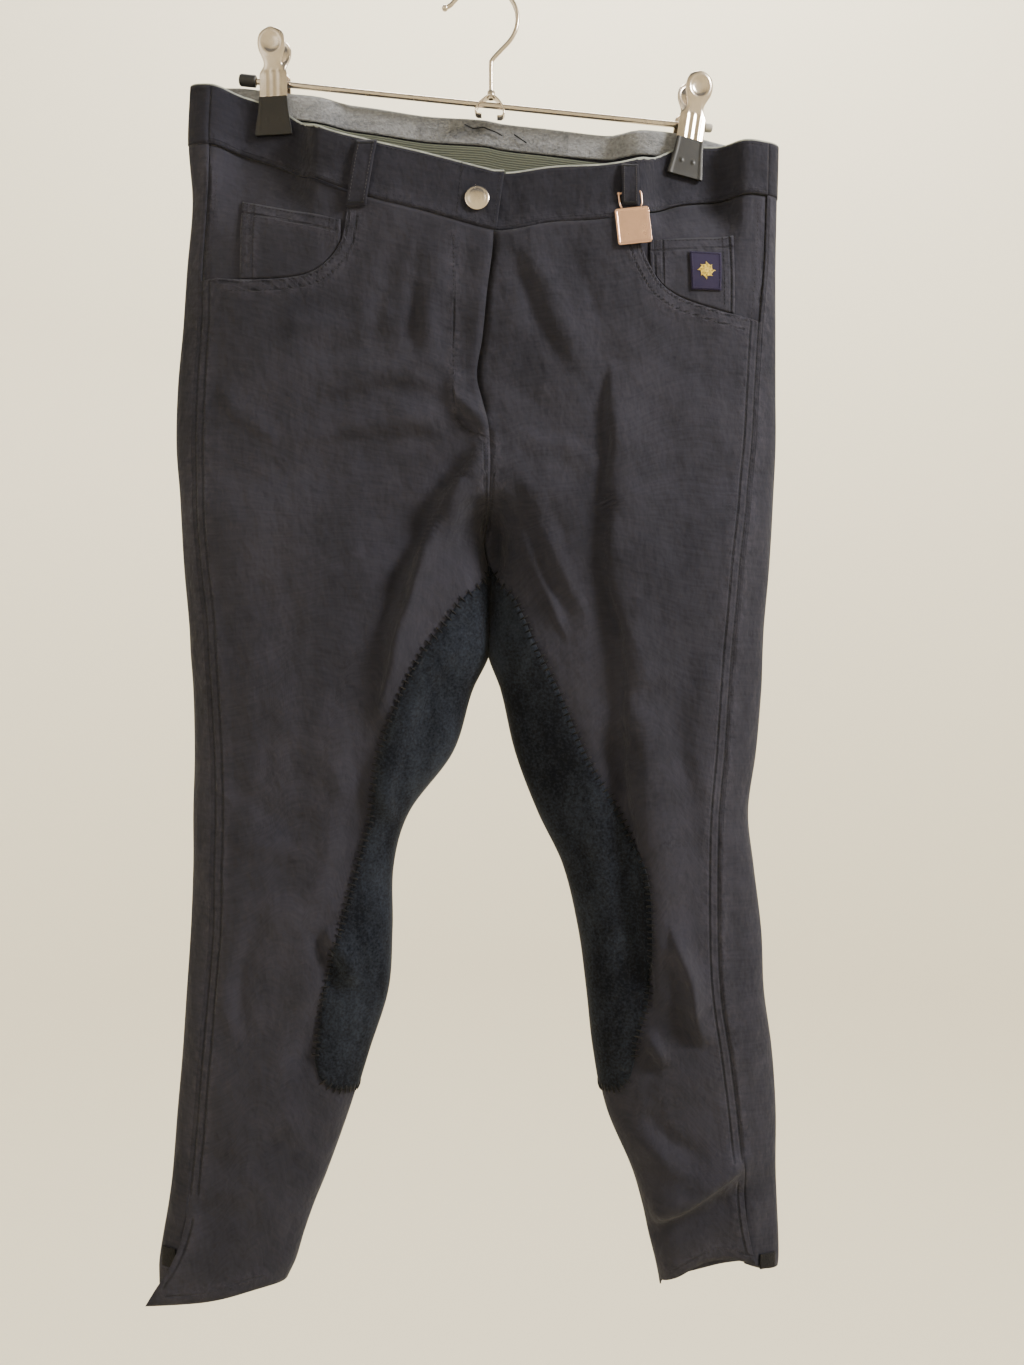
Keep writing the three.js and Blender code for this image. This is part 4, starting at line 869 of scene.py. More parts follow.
# Front panels: charcoal stretch cotton, each cut away along the curve of its pocket's mouth.
# They are felled to the backs at the side and sewn to each other along the rise.
for leg in (RIGHT, LEFT):
    columns, lanes = FRONT_LANES

    def snap_mouth(x, z, leg=leg):
        on = nearest_on(mouth_line(leg.name), x, z)
        return on_face(leg, "front", on[:, 0], on[:, 1])

    lines = [line for group in SEWN_FRONT[leg.name].values() for line in group]
    front_panel = lay_cloth(
        f"front_panel_{leg.name}", PANEL_ROWS, columns, panel_place(leg, "front", lanes), PANEL,
        cut=lambda x, z, leg=leg: past_mouth(leg.name, x, z),
        snap=snap_mouth, seams=lambda x, z, lines=lines: sewn_distance(lines, x, z),
    )
    finish_piece(front_panel, CHARCOAL, "charcoal_cotton", f"front_{leg.name}")

# Back panels: the same charcoal cotton, from the side seam round the outer fold to the inseam
# and the centre back seam, with a turned hem.
SEWN_BACK = {
    "right": [seam_line(RIGHT, -124, -900, -1.2), hem_line("back", -240, -158),
              [(7, -150), (6, -300), (5, -385)], [(3, -150), (2, -300), (1, -385)]],
    "left": [seam_line(LEFT, -164, -880, -1.2), hem_line("back", 140, 216),
             [(9, -150), (8, -300), (7, -385)]],
}
for leg in (RIGHT, LEFT):
    columns, lanes = BACK_LANES
    back_panel = lay_cloth(
        f"back_panel_{leg.name}", PANEL_ROWS, columns, panel_place(leg, "back", lanes), PANEL,
        seams=lambda x, z, leg=leg: sewn_distance(SEWN_BACK[leg.name], x, z),
    )
    finish_piece(back_panel, CHARCOAL, "charcoal_cotton", f"back_{leg.name}")

# Pocket facings: the part of each pocket's inside that shows above the mouth, cut from the
# same cotton. They run on a little way behind the mouth's edge.
FACING_DEPTH, FACING_UNDERLAP = -1.5, 8
FACING_GRID = (34, 40)
SEAM_GAP = 0.3
POCKET_GAPE = {"right": (-101, -212, 15, 1.6), "left": (121, -214, 20, 3.4)}


def sunk_facing(leg, x, z):
    """The facing lies deeper where the mouth gapes."""
    at_x, at_z, reach, depth = POCKET_GAPE[leg.name]
    points, normals = on_face(leg, "front", x, z)
    gape = depth * np.exp(-(((x - at_x) ** 2 + (z - at_z) ** 2) / reach**2))
    return points + normals * (FACING_DEPTH - gape)[:, None], normals


for leg in (RIGHT, LEFT):
    mouth = POCKETS[leg.name]["mouth"]
    inner_end = mouth[0][0] - leg.side * (FACING_UNDERLAP + 2)
    outer_end = leg.at("seam", -180) - leg.side * SEAM_GAP
    lowest = POCKETS[leg.name]["side_z"] - FACING_UNDERLAP - 6

    def place_facing(across, down, leg=leg, inner_end=inner_end, outer_end=outer_end, lowest=lowest):
        x = inner_end + (outer_end - inner_end) * across
        top = WAIST.at("front_seam", x) - 0.4
        z = top + (lowest - top) * down
        x = np.where(across > 0.999, leg.at("seam", z) - leg.side * SEAM_GAP, x)
        return sunk_facing(leg, x, z)

    def snap_facing(x, z, leg=leg):
        on = nearest_on(mouth_line(leg.name, FACING_UNDERLAP), x, z)
        return sunk_facing(leg, on[:, 0], on[:, 1])

    facing = lay_cloth(
        f"pocket_lining_{leg.name}", *FACING_GRID, place_facing, PANEL,
        cut=lambda x, z, leg=leg: -past_mouth(leg.name, x, z, FACING_UNDERLAP), snap=snap_facing,
        seams=lambda x, z, leg=leg: sewn_distance([seam_line(leg, -140, -250, 2)], x, z),
    )
    finish_piece(facing, CHARCOAL, "charcoal_cotton", f"pocket_facing_{leg.name}")

# Coin pockets: a small patch pocket of the same cotton on each facing, with a folded top
# edge and two rows of stitches down its sides.
COIN_GRID = (26, 40)
COIN_OFFSET, COIN_THICK = PANEL / 2 + 0.925, 1.0
COIN_SEWN = {"inset": 3, "apart": 6, "foot": -260, "hem": 9}
COIN_SIDE = {"right": (-180, -104.5), "left": (124.5, 187)}


def coin_top(side, x):
    (x1, z1), (x2, z2) = POCKETS[side]["coin_top"]
    return z1 + (z2 - z1) * (x - x1) / (x2 - x1)


def mouth_height(side, x):
    line = mouth_line(side, -0.8)
    order = np.argsort(line[:, 0])
    return np.interp(x, line[order, 0], line[order, 1])


for leg in (RIGHT, LEFT):
    left_x, right_x = COIN_SIDE[leg.name]

    def place_coin(across, down, leg=leg, left_x=left_x, right_x=right_x):
        x = left_x + (right_x - left_x) * across
        top, low = coin_top(leg.name, x), mouth_height(leg.name, x)
        points, normals = sunk_facing(leg, x, top + (low - top) * down)
        return points + normals * COIN_OFFSET, normals

    inset, hem = COIN_SEWN["inset"], COIN_SEWN["hem"]
    left_top, right_top = coin_top(leg.name, left_x), coin_top(leg.name, right_x)
    coin_sewing = [
        [(x, top), (x, COIN_SEWN["foot"])]
        for x, top in ((left_x + inset, left_top), (left_x + inset + COIN_SEWN["apart"], left_top),
                       (right_x - inset, right_top))
    ]
    coin_sewing.append([(left_x, left_top - hem), (right_x, right_top - hem)])
    coin = lay_cloth(
        f"coin_patch_{leg.name}", *COIN_GRID, place_coin, COIN_THICK,
        seams=lambda x, z, lines=coin_sewing: sewn_distance(lines, x, z),
    )
    finish_piece(coin, CHARCOAL, "charcoal_cotton", f"coin_pocket_{leg.name}")

# Full-seat patches: dark brushed microsuede over the seat and the inner legs, laid on both
# panels astride the inseam and stitched down round their edges.
def microsuede():
    material, shader, start = new_finish("seat_suede", (0.012, 0.016, 0.024), 0.92, Specular_IOR_Level=0.1,
                                         Sheen_Weight=0.06, Sheen_Roughness=0.4)
    place = start.place()
    nap = start.noise(place, 520, 2, 0.6)
    brushed = start.noise(place, 60, 4, 0.65, (1, 1, 0.35))
    worn = start.noise(place, 14, 3)
    tone = (nap - 0.5) * 1.8 + (brushed - 0.5) * 1.6 + (worn - 0.5) * 1.4 + 0.36
    drive(shader, Base_Color=start.mix(tone.clipped(0, 1), (0.0028, 0.0036, 0.006), (0.018, 0.022, 0.032)),
          Normal=bumped(start, nap * 0.7 + brushed, 0.5, 0.35), Roughness=0.86 + brushed * 0.12)
    return material


SUEDE = microsuede()
PATCH_OFFSET = PANEL / 2 + 0.3 + PATCH / 2
PATCH_TOP, PATCH_THIGH, PATCH_END = -212, -440, -832
PATCH_LANES, PATCH_ROWS = {"back": 30, "front": 16}, {"leg": 112, "seat": 66}
PATCH_CORNER = {"share": 0.17, "height": 24}
PATCH_TIP = {"share": 0.3, "length": 34}


def patch_foot(across):
    """The patch's lower end, whose corners are rounded."""
    near_edge = np.clip(1 - np.minimum(across, 1 - across) / PATCH_CORNER["share"], 0, 1)
    return PATCH_END + PATCH_CORNER["height"] * (1 - np.sqrt(1 - near_edge**2))


def patch_over_seat(leg):
    def place(across, down):
        level = PATCH_TOP + (PATCH_THIGH - PATCH_TOP) * down
        points, normals = panel_site(leg, "back", 1 + across, level, 0)
        return points + normals * PATCH_OFFSET, normals
    return place


def patch_whole(leg):
    """Below the thigh the patch runs from its back edge over the inseam to its front edge."""
    def place(across, down):
        level = PATCH_THIGH + (patch_foot(across) - PATCH_THIGH) * down
        back_share = PATCH_LANES["back"] / sum(PATCH_LANES.values())
        back_lane = 1 + np.clip(across / back_share, 0, 1)
        front_lane = np.clip((across - back_share) / (1 - back_share), 0, 1)
        tip = PATCH_TIP["share"] + (PATCH_THIGH - level) / PATCH_TIP["length"]
        front_lane = front_lane * np.clip(tip, PATCH_TIP["share"], 1)
        on_back = panel_site(leg, "back", back_lane, level, 0)
        on_front = panel_site(leg, "front", front_lane, level, 0)
        choose = (across <= back_share)[:, None]
        points = np.where(choose, on_back[0], on_front[0])
        normals = np.where(choose, on_back[1], on_front[1])
        return points + normals * PATCH_OFFSET, normals
    return place


def joined(first, second):
    """One piece of cloth from two that meet along a row."""
    bm = bmesh.new()
    bm.from_mesh(first.data)
    bm.from_mesh(second.data)
    bmesh.ops.remove_doubles(bm, verts=bm.verts[:], dist=0.0002)
    bm.to_mesh(first.data)
    bm.free()
    bpy.data.objects.remove(second)
    return first


for leg in (RIGHT, LEFT):
    leg_part = lay_cloth(f"grip_patch_{leg.name}", PATCH_ROWS["leg"], sum(PATCH_LANES.values()),
                         patch_whole(leg), PATCH)
    seat_part = lay_cloth("seat_part", PATCH_ROWS["seat"], PATCH_LANES["back"], patch_over_seat(leg), PATCH)
    patch = joined(leg_part, seat_part)
    finish_piece(patch, SUEDE, "seat_suede", f"seat_patch_{leg.name}")

# Waistband: a doubled band of the same cotton in a darker shade. Its right end is the tab
# that closes over the left end, and a light binding rolls over its top edge.
BAND_COTTON = woven_cotton("waistband_cotton", (0.006, 0.0063, 0.0108), (0.0255, 0.0252, 0.0365), 1.0)
BAND_ROWS, BAND_COLUMNS, REAR_COLUMNS = 14, 84, 150
TAB = {"top_x": 16, "seam_x": 10, "share": 0.06}
UNDERLAP = {"start_x": -24, "sunk": 2.6, "deep_until_x": 20, "level_x": 80, "share": 0.12}
BAND_MIDDLE = -170.0


def band_lane_angle(leg, face, lane):
    flat = lane_angle(leg, WAIST_LEVEL, face, lane)
    return lane_angle(leg, shaped_height(leg, flat, WAIST_LEVEL), face, lane)


def band_site(leg, angle, share, trim_top=0.0, trim_seam=0.15):
    front = np.sin(angle) > 0
    waist_x = surface(leg, angle, np.full(np.shape(angle), float(WAIST_LEVEL)))[..., 0]
    top = np.where(front, WAIST.at("front_top", waist_x), WAIST.at("back_top", waist_x)) - trim_top
    seam = shaped_height(leg, angle, WAIST_LEVEL) + trim_seam
    return site(leg, angle, top + (seam - top) * share)


def front_band(leg, share, end_x, lifted, across, down):
    """A front band, whose first share runs on past the centre to its end."""
    lane = 2 * np.clip((across - share) / (1 - share), 0, 1)
    points, normals = band_site(leg, band_lane_angle(leg, "front", lane), down)
    first_x = surface(leg, band_lane_angle(leg, "front", np.zeros(1)), BAND_MIDDLE)[0, 0]
    end = across < share
    x = end_x + (first_x - end_x) * across / share
    rise = lifted * (WAIST.at("front_top", x) - WAIST.at("front_top", CLOSING_X))
    ends = on_face(leg, "front", np.where(end, x, leg.side * 50), points[:, 2] + np.where(end, rise, 0))
    choose = end[:, None]
    return np.where(choose, ends[0], points), np.where(choose, ends[1], normals)


def place_tab(across, down):
    """The right front band, with the tab's end past the centre."""
    edge_x = TAB["top_x"] + (TAB["seam_x"] - TAB["top_x"]) * down
    return front_band(RIGHT, TAB["share"], edge_x, 0, across, down)


def place_underlap(across, down):
    """The left front band, whose end runs back under the tab."""
    points, normals = front_band(LEFT, UNDERLAP["share"], UNDERLAP["start_x"], 1, across, down)
    sunk = UNDERLAP["sunk"] * (1 - ease(points[:, 0], UNDERLAP["deep_until_x"], UNDERLAP["level_x"]))
    return points - normals * sunk[:, None], normals


def place_back_band(across, down, trim_top=0.0, trim_seam=0.15, depth=0.0, from_lane=0.0):
    """From the right side seam across the centre back to the left side seam."""
    lane = np.where(across < 0.5, across, 1 - across) * 2
    lane = from_lane + (2 - from_lane) * lane
    pieces = [band_site(leg, band_lane_angle(leg, "back", lane), down, trim_top, trim_seam)
              for leg in (RIGHT, LEFT)]
    right = (across < 0.5)[:, None]
    normals = np.where(right, pieces[0][1], pieces[1][1])
    return np.where(right, pieces[0][0], pieces[1][0]) + normals * depth, normals


def band_seams(x, z):
    line = waist_line("front_seam", -2, -222, 222)
    return along_line(line, x, z)[0]


band_right = lay_cloth("waistband_tab", BAND_ROWS, BAND_COLUMNS, place_tab, BAND, seams=band_seams)
band_left = lay_cloth("waistband_underlap", BAND_ROWS, BAND_COLUMNS, place_underlap, BAND,
                      seams=band_seams)
band_back = lay_cloth("waistband_rear", BAND_ROWS, REAR_COLUMNS, place_back_band, BAND)
finish_piece(band_right, BAND_COTTON, "waistband_cotton", "waistband_front_right")
finish_piece(band_left, BAND_COTTON, "waistband_cotton", "waistband_front_left")
finish_piece(band_back, BAND_COTTON, "waistband_cotton", "waistband_back")


def rod_along(name, points, radius, sides=8, body=GARMENT):
    """A round strand along a line of points, with flat ends."""
    curve = bpy.data.curves.new(name, "CURVE")
    curve.dimensions = "3D"
    curve.bevel_depth = radius * MM
    curve.bevel_resolution = sides // 4
    curve.use_fill_caps = True
    line = curve.splines.new("POLY")
    line.points.add(len(points) - 1)
    for knot, point in zip(line.points, points):
        knot.co = (*(Vector(point) * MM), 1)
    drawn = bpy.data.objects.new(name, curve)
    mesh = bpy.data.meshes.new_from_object(drawn)
    mesh.name = name
    bpy.data.objects.remove(drawn)
    mesh.shade_smooth()
    return new_piece(name, mesh, body)


def binding_cloth():
    material, shader, start = new_finish("binding", (0.2, 0.215, 0.2), 0.85, Sheen_Weight=0.2)
    place = start.place()
    rubbed = start.noise(place, 90, 3, 0.6)
    tone = (rubbed * 1.6 - 0.3).clipped(0, 1)
    drive(shader, Base_Color=start.mix(tone, (0.08, 0.088, 0.088), (0.34, 0.36, 0.33)),
          Normal=bumped(start, start.noise(place, 700, 2), 0.4, 0.15))
    return material


BINDING = binding_cloth()
for name, place, first, last in (("right", place_tab, 0.0, 1.0), ("left", place_underlap, 0.16, 1.0)):
    shares = np.linspace(first, last, 120)
    edge = place(shares, np.zeros(120))[0]
    binding = rod_along(f"band_binding_{name}", edge + np.array([0, 0, 0.1]), 1.25)
    finish_piece(binding, BINDING, "waistband_cotton")
shares = np.linspace(0, 1, 200)
edge = place_back_band(shares, np.zeros(200))[0]
back_binding = rod_along("band_binding_back", edge + np.array([0, 0, 0.1]), 1.2)
finish_piece(back_binding, BINDING, "waistband_cotton")

# Inside the back waistband: a strip of grey brushed terry above a strip of green ribbed
# elastic, both flat woven bands sewn to the inside of the rear band.
STRIP_DEPTH = -BAND / 2 - 0.3 - STRIP / 2
TERRY_HEIGHT, BAND_HEIGHT, STRIP_MARGIN = 19, 43, 1.5
STRIP_GRID, STRIP_START = (10, 180), 0.06


def terry_cloth():
    material, shader, start = new_finish("terry", (0.12, 0.125, 0.14), 0.95, Sheen_Weight=0.2,
                                         Sheen_Roughness=0.5)
    place = start.place()
    tufts = start.noise(place, 520, 2, 0.6, (0.7, 1, 1))
    streaks = start.noise(place, 150, 3, 0.6, (0.16, 1, 1))
    worn = start.noise(place, 45, 3, 0.6, (0.5, 1, 1))
    tone = (tufts * 0.8 + streaks * 0.9 + worn * 0.5 - 0.6).clipped(0, 1)
    drive(shader, Base_Color=start.mix(tone, (0.05, 0.053, 0.062), (0.3, 0.31, 0.335)),
          Normal=bumped(start, tufts + worn * 0.4, 0.9, 0.9))
    return material


TERRY = terry_cloth()


def place_terry(across, down):
    return place_back_band(across, down, STRIP_MARGIN - 1.2, BAND_HEIGHT - TERRY_HEIGHT, STRIP_DEPTH,
                           STRIP_START)


def place_rib(across, down):
    return place_back_band(across, down, TERRY_HEIGHT + STRIP_MARGIN, 1.0, STRIP_DEPTH, STRIP_START)


terry = lay_cloth("terry_strip", *STRIP_GRID, place_terry, STRIP)
finish_piece(terry, TERRY, "terry", "inner_terry_strip")


PILE_THREADS = 5200


def loop_pile():
    """Short loose threads that stand out of the terry, bent towards the inside of the band."""
    rng = np.random.default_rng(4)
    count = PILE_THREADS
    across, down = rng.uniform(0.01, 0.99, count), rng.uniform(0.0, 1.0, count)
    roots, normals = place_terry(across, down)
    roots = roots - normals * (STRIP / 2)
    bm = bmesh.new()
    for root, normal, turn, length in zip(
        roots, normals, rng.normal(0, 0.5, (count, 3)), rng.uniform(0.7, 1.7, count)
    ):
        lean = Vector(-normal + turn * 0.9).normalized() * length
        side = lean.orthogonal().normalized() * 0.11
        a, b, c = Vector(root), Vector(root) + lean * 0.6, Vector(root) + lean + Vector((0, 0, 0.35))
        corners = [bm.verts.new(p * MM) for p in (a - side, a + side, b + side, c, b - side)]
        bm.faces.new(corners)
    return new_piece("terry_pile", mesh_of("terry_pile", bm, smooth=False))


finish_piece(loop_pile(), TERRY, "terry")


def ribbed_elastic():
    material, shader, start = new_finish("rib_elastic", (0.1, 0.11, 0.085), 0.75)
    u, v = start.cloth_map()[1:]
    ribs = v.waves(0.0018)
    cross = u.waves(0.0009)
    tone = ribs * 0.75 + cross * 0.25
    drive(shader, Base_Color=start.mix(tone, (0.025, 0.029, 0.022), (0.1, 0.112, 0.082)),
          Normal=bumped(start, tone, 0.8, 0.5))
    return material


rib = lay_cloth("rib_strip", *STRIP_GRID, place_rib, STRIP)
finish_piece(rib, ribbed_elastic(), "rib_elastic", "inner_rib_strip")

# Fly shield: the flap of dark waistband cotton behind the fly's opening, a single strip
# sewn in behind the right front's edge.
SHIELD = {"left": -14, "right": 18, "bottom": -346, "depth": 2.2, "thick": 1.0}


def place_shield(across, down):
    top = WAIST.at("front_seam", CLOSING_X) - 0.6
    z = top + (SHIELD["bottom"] - top) * down
    offset = SHIELD["left"] + (SHIELD["right"] - SHIELD["left"]) * across
    x = FRONT_CENTRE.at("x", z) + offset
    right = site(RIGHT, angle_at(RIGHT, np.minimum(x, FRONT_CENTRE.at("x", z)), z, True), z)
    left = site(LEFT, angle_at(LEFT, np.maximum(x, FRONT_CENTRE.at("x", z)), z, True), z)
    choose = (offset < 0)[:, None]
    normals = np.where(choose, right[1], left[1])
    return np.where(choose, right[0], left[0]) - normals * SHIELD["depth"], normals


shield = lay_cloth("fly_guard", 40, 12, place_shield, SHIELD["thick"])
finish_piece(shield, BAND_COTTON, "charcoal_cotton", "fly_shield")

# Belt loops: narrow folded strips of the waistband cotton, sewn down by a bar tack at either
# end, so that they stand off the band between them.
BELT_LOOPS = [
    dict(name="right", leg=RIGHT, face="front", top=(-85, -129), low=(-93, -178), width=15, bow=2.0),
    dict(name="left", leg=LEFT, face="front", top=(108, -147), low=(108, -177), width=12, bow=2.8),
    dict(name="back", leg=LEFT, face="back", top=(22, -104), low=(22, -150), width=14, bow=2.0),
]
LOOP_THICK = 1.2


def loop_place(loop, lift=0.0):
    def place(across, down):
        x = loop["top"][0] + (loop["low"][0] - loop["top"][0]) * down + (across - 0.5) * loop["width"]
        z = loop["top"][1] + (loop["low"][1] - loop["top"][1]) * down
        points, normals = on_face(loop["leg"], loop["face"], x, z)
        rise = BAND / 2 + 0.3 + LOOP_THICK / 2 + lift + loop["bow"] * np.abs(np.sin(np.pi * down)) ** 0.6
        edge = 0.5 * np.exp(-(((np.abs(across - 0.5) - 0.36) / 0.06) ** 2)) - 0.25
        return points + normals * (rise + edge * 0.6)[:, None], normals
    return place


for loop in BELT_LOOPS:
    strip = lay_cloth(f"loop_strip_{loop['name']}", 30, 14, loop_place(loop), LOOP_THICK)
    finish_piece(strip, BAND_COTTON, "waistband_cotton", f"belt_loop_{loop['name']}")
    length = math.dist(loop["top"], loop["low"]) * MM
    length * 1.05

# Closing tape: a short piece of black nylon hook tape, sewn on the back's edge beside each
# ankle slit.
def closing_tape():
    material, shader, start = new_finish("closing_tape", (0.008, 0.008, 0.009), 0.8, Specular_IOR_Level=0.2)
    place = start.place()
    hooks = start.noise(place, 900, 1, 0.5)
    drive(shader, Base_Color=start.mix(hooks, (0.002, 0.002, 0.0025), (0.012, 0.012, 0.014)),
          Normal=bumped(start, hooks, 1.0, 0.8))
    return material


TAPE = closing_tape()
TAPE_LIFT, TAPE_THICK = 1.4, 0.8
for name, leg, x1, x2, z1, z2 in (
    ("right", RIGHT, -240, -229, -951, -965), ("left", LEFT, 206, 218, -954, -965),
):
    def place_tape(across, down, leg=leg, x1=x1, x2=x2, z1=z1, z2=z2):
        return on_face(leg, "front", x1 + (x2 - x1) * across, z1 + (z2 - z1) * down, TAPE_LIFT)

    tape = lay_cloth(f"hook_strip_{name}", 12, 12, place_tape, TAPE_THICK)
    finish_piece(tape, TAPE, "closing_tape", f"hook_tape_{name}")

# Sewing: dark cotton thread in short straight stitches along the felled seams, the fly, the
# mouths, the band and the hems, and in bars across the edges of the seat patches.
def thread(name, colour):
    material, shader, start = new_finish(name, colour, 0.7, Specular_IOR_Level=0.2)
    ply = start.noise(start.place(), 1500, 1)
    drive(shader, Base_Color=start.mix(ply, colour, tuple(c * 1.8 for c in colour)))
    return material


THREAD = thread("dark_thread", (0.005, 0.005, 0.006))
GREY_THREAD = thread("grey_thread", (0.035, 0.033, 0.036))
PATCH_THREAD = thread("patch_thread", (0.003, 0.003, 0.004))
PATCH_BARS = {"side": 78, "foot": 30, "seat": 46}


def resampled(line, pitch):
    length = np.linalg.norm(np.diff(np.array(line, float), axis=0), axis=1).sum()
    return on_line(line, np.arange(0, length, pitch) / length)


def sew(name, runs, material, length=2.3, pitch=3.3, width=0.5, bars=False):
    """Stitches along runs of (points, normals). Bars lie across the line instead of along it."""
    bm = bmesh.new()
    for points, normals in runs:
        ahead = np.roll(points, -1, axis=0) - points
        for point, direction, normal in zip(points[:-1], ahead[:-1], normals[:-1]):
            along, out = Vector(direction).normalized(), Vector(normal)
            if along.length < 0.5:
                continue
            sideways = out.cross(along).normalized()
            if bars:
                along, sideways = sideways, along
            axes = Matrix((along * length, sideways * width, out * width * 0.8)).transposed()
            stitch = Matrix.Translation(Vector(point)) @ axes.to_4x4()
            bmesh.ops.create_icosphere(bm, subdivisions=1, radius=0.5, matrix=Matrix.Scale(MM, 4) @ stitch)
    finish_piece(new_piece(name, mesh_of(name, bm)), material, "charcoal_cotton")


def run_on(leg, face, line, pitch=3.3, offset=PANEL / 2 + 0.12):
    line = resampled(line, pitch)
    return on_face(leg, face, line[:, 0], line[:, 1], offset)


def flap_run(leg, line, pitch=3.3):
    """A run on the free flap below an ankle slit."""
    points, normals = run_on(leg, "front", line, pitch)
    points[:, 1] -= leg.flap_lift
    return points, normals


for leg in (RIGHT, LEFT):
    groups = SEWN_FRONT[leg.name]
    flat_lines = groups["felled"] + groups["mouth"] + groups["fly"] + groups["rise"]
    runs = [run_on(leg, "front", line) for line in flat_lines]
    runs += [flap_run(leg, line) for line in groups["hem"] + groups["slit"]]
    sew(f"front_stitching_{leg.name}", runs, THREAD)
    runs = [run_on(leg, "back", line) for line in SEWN_BACK[leg.name][1:]]
    sew(f"back_stitching_{leg.name}", runs, THREAD)
    left_x, right_x = COIN_SIDE[leg.name]
    coin_lines = []
    for x in (left_x + 2.5, left_x + 8.5, right_x - 2.5, right_x - 8):
        coin_lines.append([(x, coin_top(leg.name, x) - 1), (x, mouth_height(leg.name, x) + 1)])
    coin_lines.append([(left_x + 1, coin_top(leg.name, left_x) - 2),
                       (right_x - 1, coin_top(leg.name, right_x) - 2)])
    runs = [run_on(leg, "front", line, 3, 0.75) for line in coin_lines]
    sew(f"coin_stitching_{leg.name}", runs, THREAD)

    whole, over_seat = patch_whole(leg), patch_over_seat(leg)
    sides = np.linspace(0.02, 0.995, PATCH_BARS["side"])
    foot = np.linspace(0.01, 0.99, PATCH_BARS["foot"])
    seat = np.linspace(0, 1, PATCH_BARS["seat"])
    edges = [
        (points + normals * PATCH / 2, normals)
        for points, normals in (
            whole(np.full(sides.shape, 0.999), sides), whole(np.full(sides.shape, 0.001), sides),
            whole(foot, np.full(foot.shape, 0.999)), over_seat(np.full(seat.shape, 0.002), seat),
        )
    ]
    sew(f"patch_stitching_{leg.name}", edges, PATCH_THREAD, length=8, width=1.8, bars=True)

ON_BAND = BAND / 2 + 0.12
band_run = [
    run_on(leg, "front", line, pitch, ON_BAND)
    for leg, pitch, line in (
        (RIGHT, 3.3, waist_line("front_seam", -2.0, -204, 8)),
        (LEFT, 3.3, waist_line("front_seam", -2.0, 84, 212)),
        (RIGHT, 3.0, [(-15, -146), (-19, -185)]),
        (RIGHT, 3.0, [(13, -154), (8, -193)]),
        (RIGHT, 3.3, waist_line("front_top", 2.4, -204, 12)),
        (LEFT, 3.3, waist_line("front_top", 2.4, 84, 212)),
    )
]
sew("band_stitching", band_run, THREAD)
for loop in BELT_LOOPS:
    place = loop_place(loop, LOOP_THICK / 2 + 0.1)
    sides = [place(np.full(18, share), np.linspace(0.04, 0.96, 18)) for share in (0.14, 0.86)]
    sew(f"loop_stitching_{loop['name']}", sides, GREY_THREAD, length=1.9)
    ends = [place(np.linspace(0.1, 0.9, 22), np.full(22, share)) for share in (0.05, 0.95)]
    sew(f"loop_bar_{loop['name']}", ends, THREAD, length=1.8, width=0.55, bars=True)

TACKS = [[(-14, -98), (-8, -101), (0, -100), (10, -104), (15, -107)], [(24, -106), (33, -112)]]
TACK = {"pitch": 0.9, "drop": 3, "from_x": 12, "depth": BAND / 2 + STRIP + 2.4}
tack_runs = []
for line in TACKS:
    line = resampled(line, TACK["pitch"])
    x, z = line.T
    points, normals = on_face(LEFT, "back", np.maximum(x, TACK["from_x"]), z - TACK["drop"])
    points[:, 0] = x
    tack_runs.append((points - normals * TACK["depth"], normals))
sew("tack_stitching", tack_runs, PATCH_THREAD, length=2.2, width=1.1)

# Snap button: a pressed cap of warm nickel plate with a rolled rim and a low dome, set
# through the tab. The other metals and plastics of the fittings are mixed here too.
def plated(name, colour, worn_colour, roughness):
    material, shader, start = new_finish(name, colour, roughness, 1.0)
    place = start.place()
    smears = start.noise(place, 120, 4, 0.6)
    scratches = start.noise(place, 600, 2, 0.6, (1, 1, 0.12))
    drive(shader, Base_Color=start.mix((smears * 1.4 - 0.35).clipped(0, 1), colour, worn_colour),
          Roughness=roughness + (smears - 0.5) * 0.18 + (scratches - 0.5) * 0.1,
          Normal=bumped(start, scratches, 0.12, 0.1))
    return material


def moulded(name, colour, roughness):
    material, shader, start = new_finish(name, colour, roughness, Specular_IOR_Level=0.3, Coat_Weight=0.04)
    place = start.place()
    grain = start.noise(place, 420, 3)
    dust = start.noise(place, 45, 4, 0.65)
    paler = tuple(c * 1.7 + 0.002 for c in colour)
    drive(shader, Base_Color=start.mix((dust * 1.3 - 0.4).clipped(0, 1), colour, paler),
          Normal=bumped(start, grain, 0.25, 0.12), Roughness=roughness + (dust - 0.5) * 0.25)
    return material


NICKEL = plated("nickel", (0.56, 0.5, 0.43), (0.42, 0.36, 0.3), 0.24)
COPPER = plated("copper", (0.72, 0.47, 0.36), (0.6, 0.38, 0.28), 0.3)
DIP = moulded("black_dip", (0.007, 0.0065, 0.006), 0.46)
BLACK_CAP = moulded("black_cap", (0.01, 0.01, 0.011), 0.5)
GREY_CAP = moulded("grey_cap", (0.26, 0.25, 0.23), 0.5)


def make_piece(name, bm, material, slot, *nodes, body=GARMENT):
    """Closes a bmesh drawn in millimetres into a smooth piece in metres."""
    bmesh.ops.remove_doubles(bm, verts=bm.verts[:], dist=0.001)
    bmesh.ops.recalc_face_normals(bm, faces=bm.faces[:])
    bmesh.ops.scale(bm, vec=(MM, MM, MM), verts=bm.verts[:])
    mesh = mesh_of(name, bm)
    mesh.set_sharp_from_angle(angle=math.radians(38))
    piece = new_piece(name, mesh, body)
    finish_piece(piece, material, slot, *nodes)
    return piece


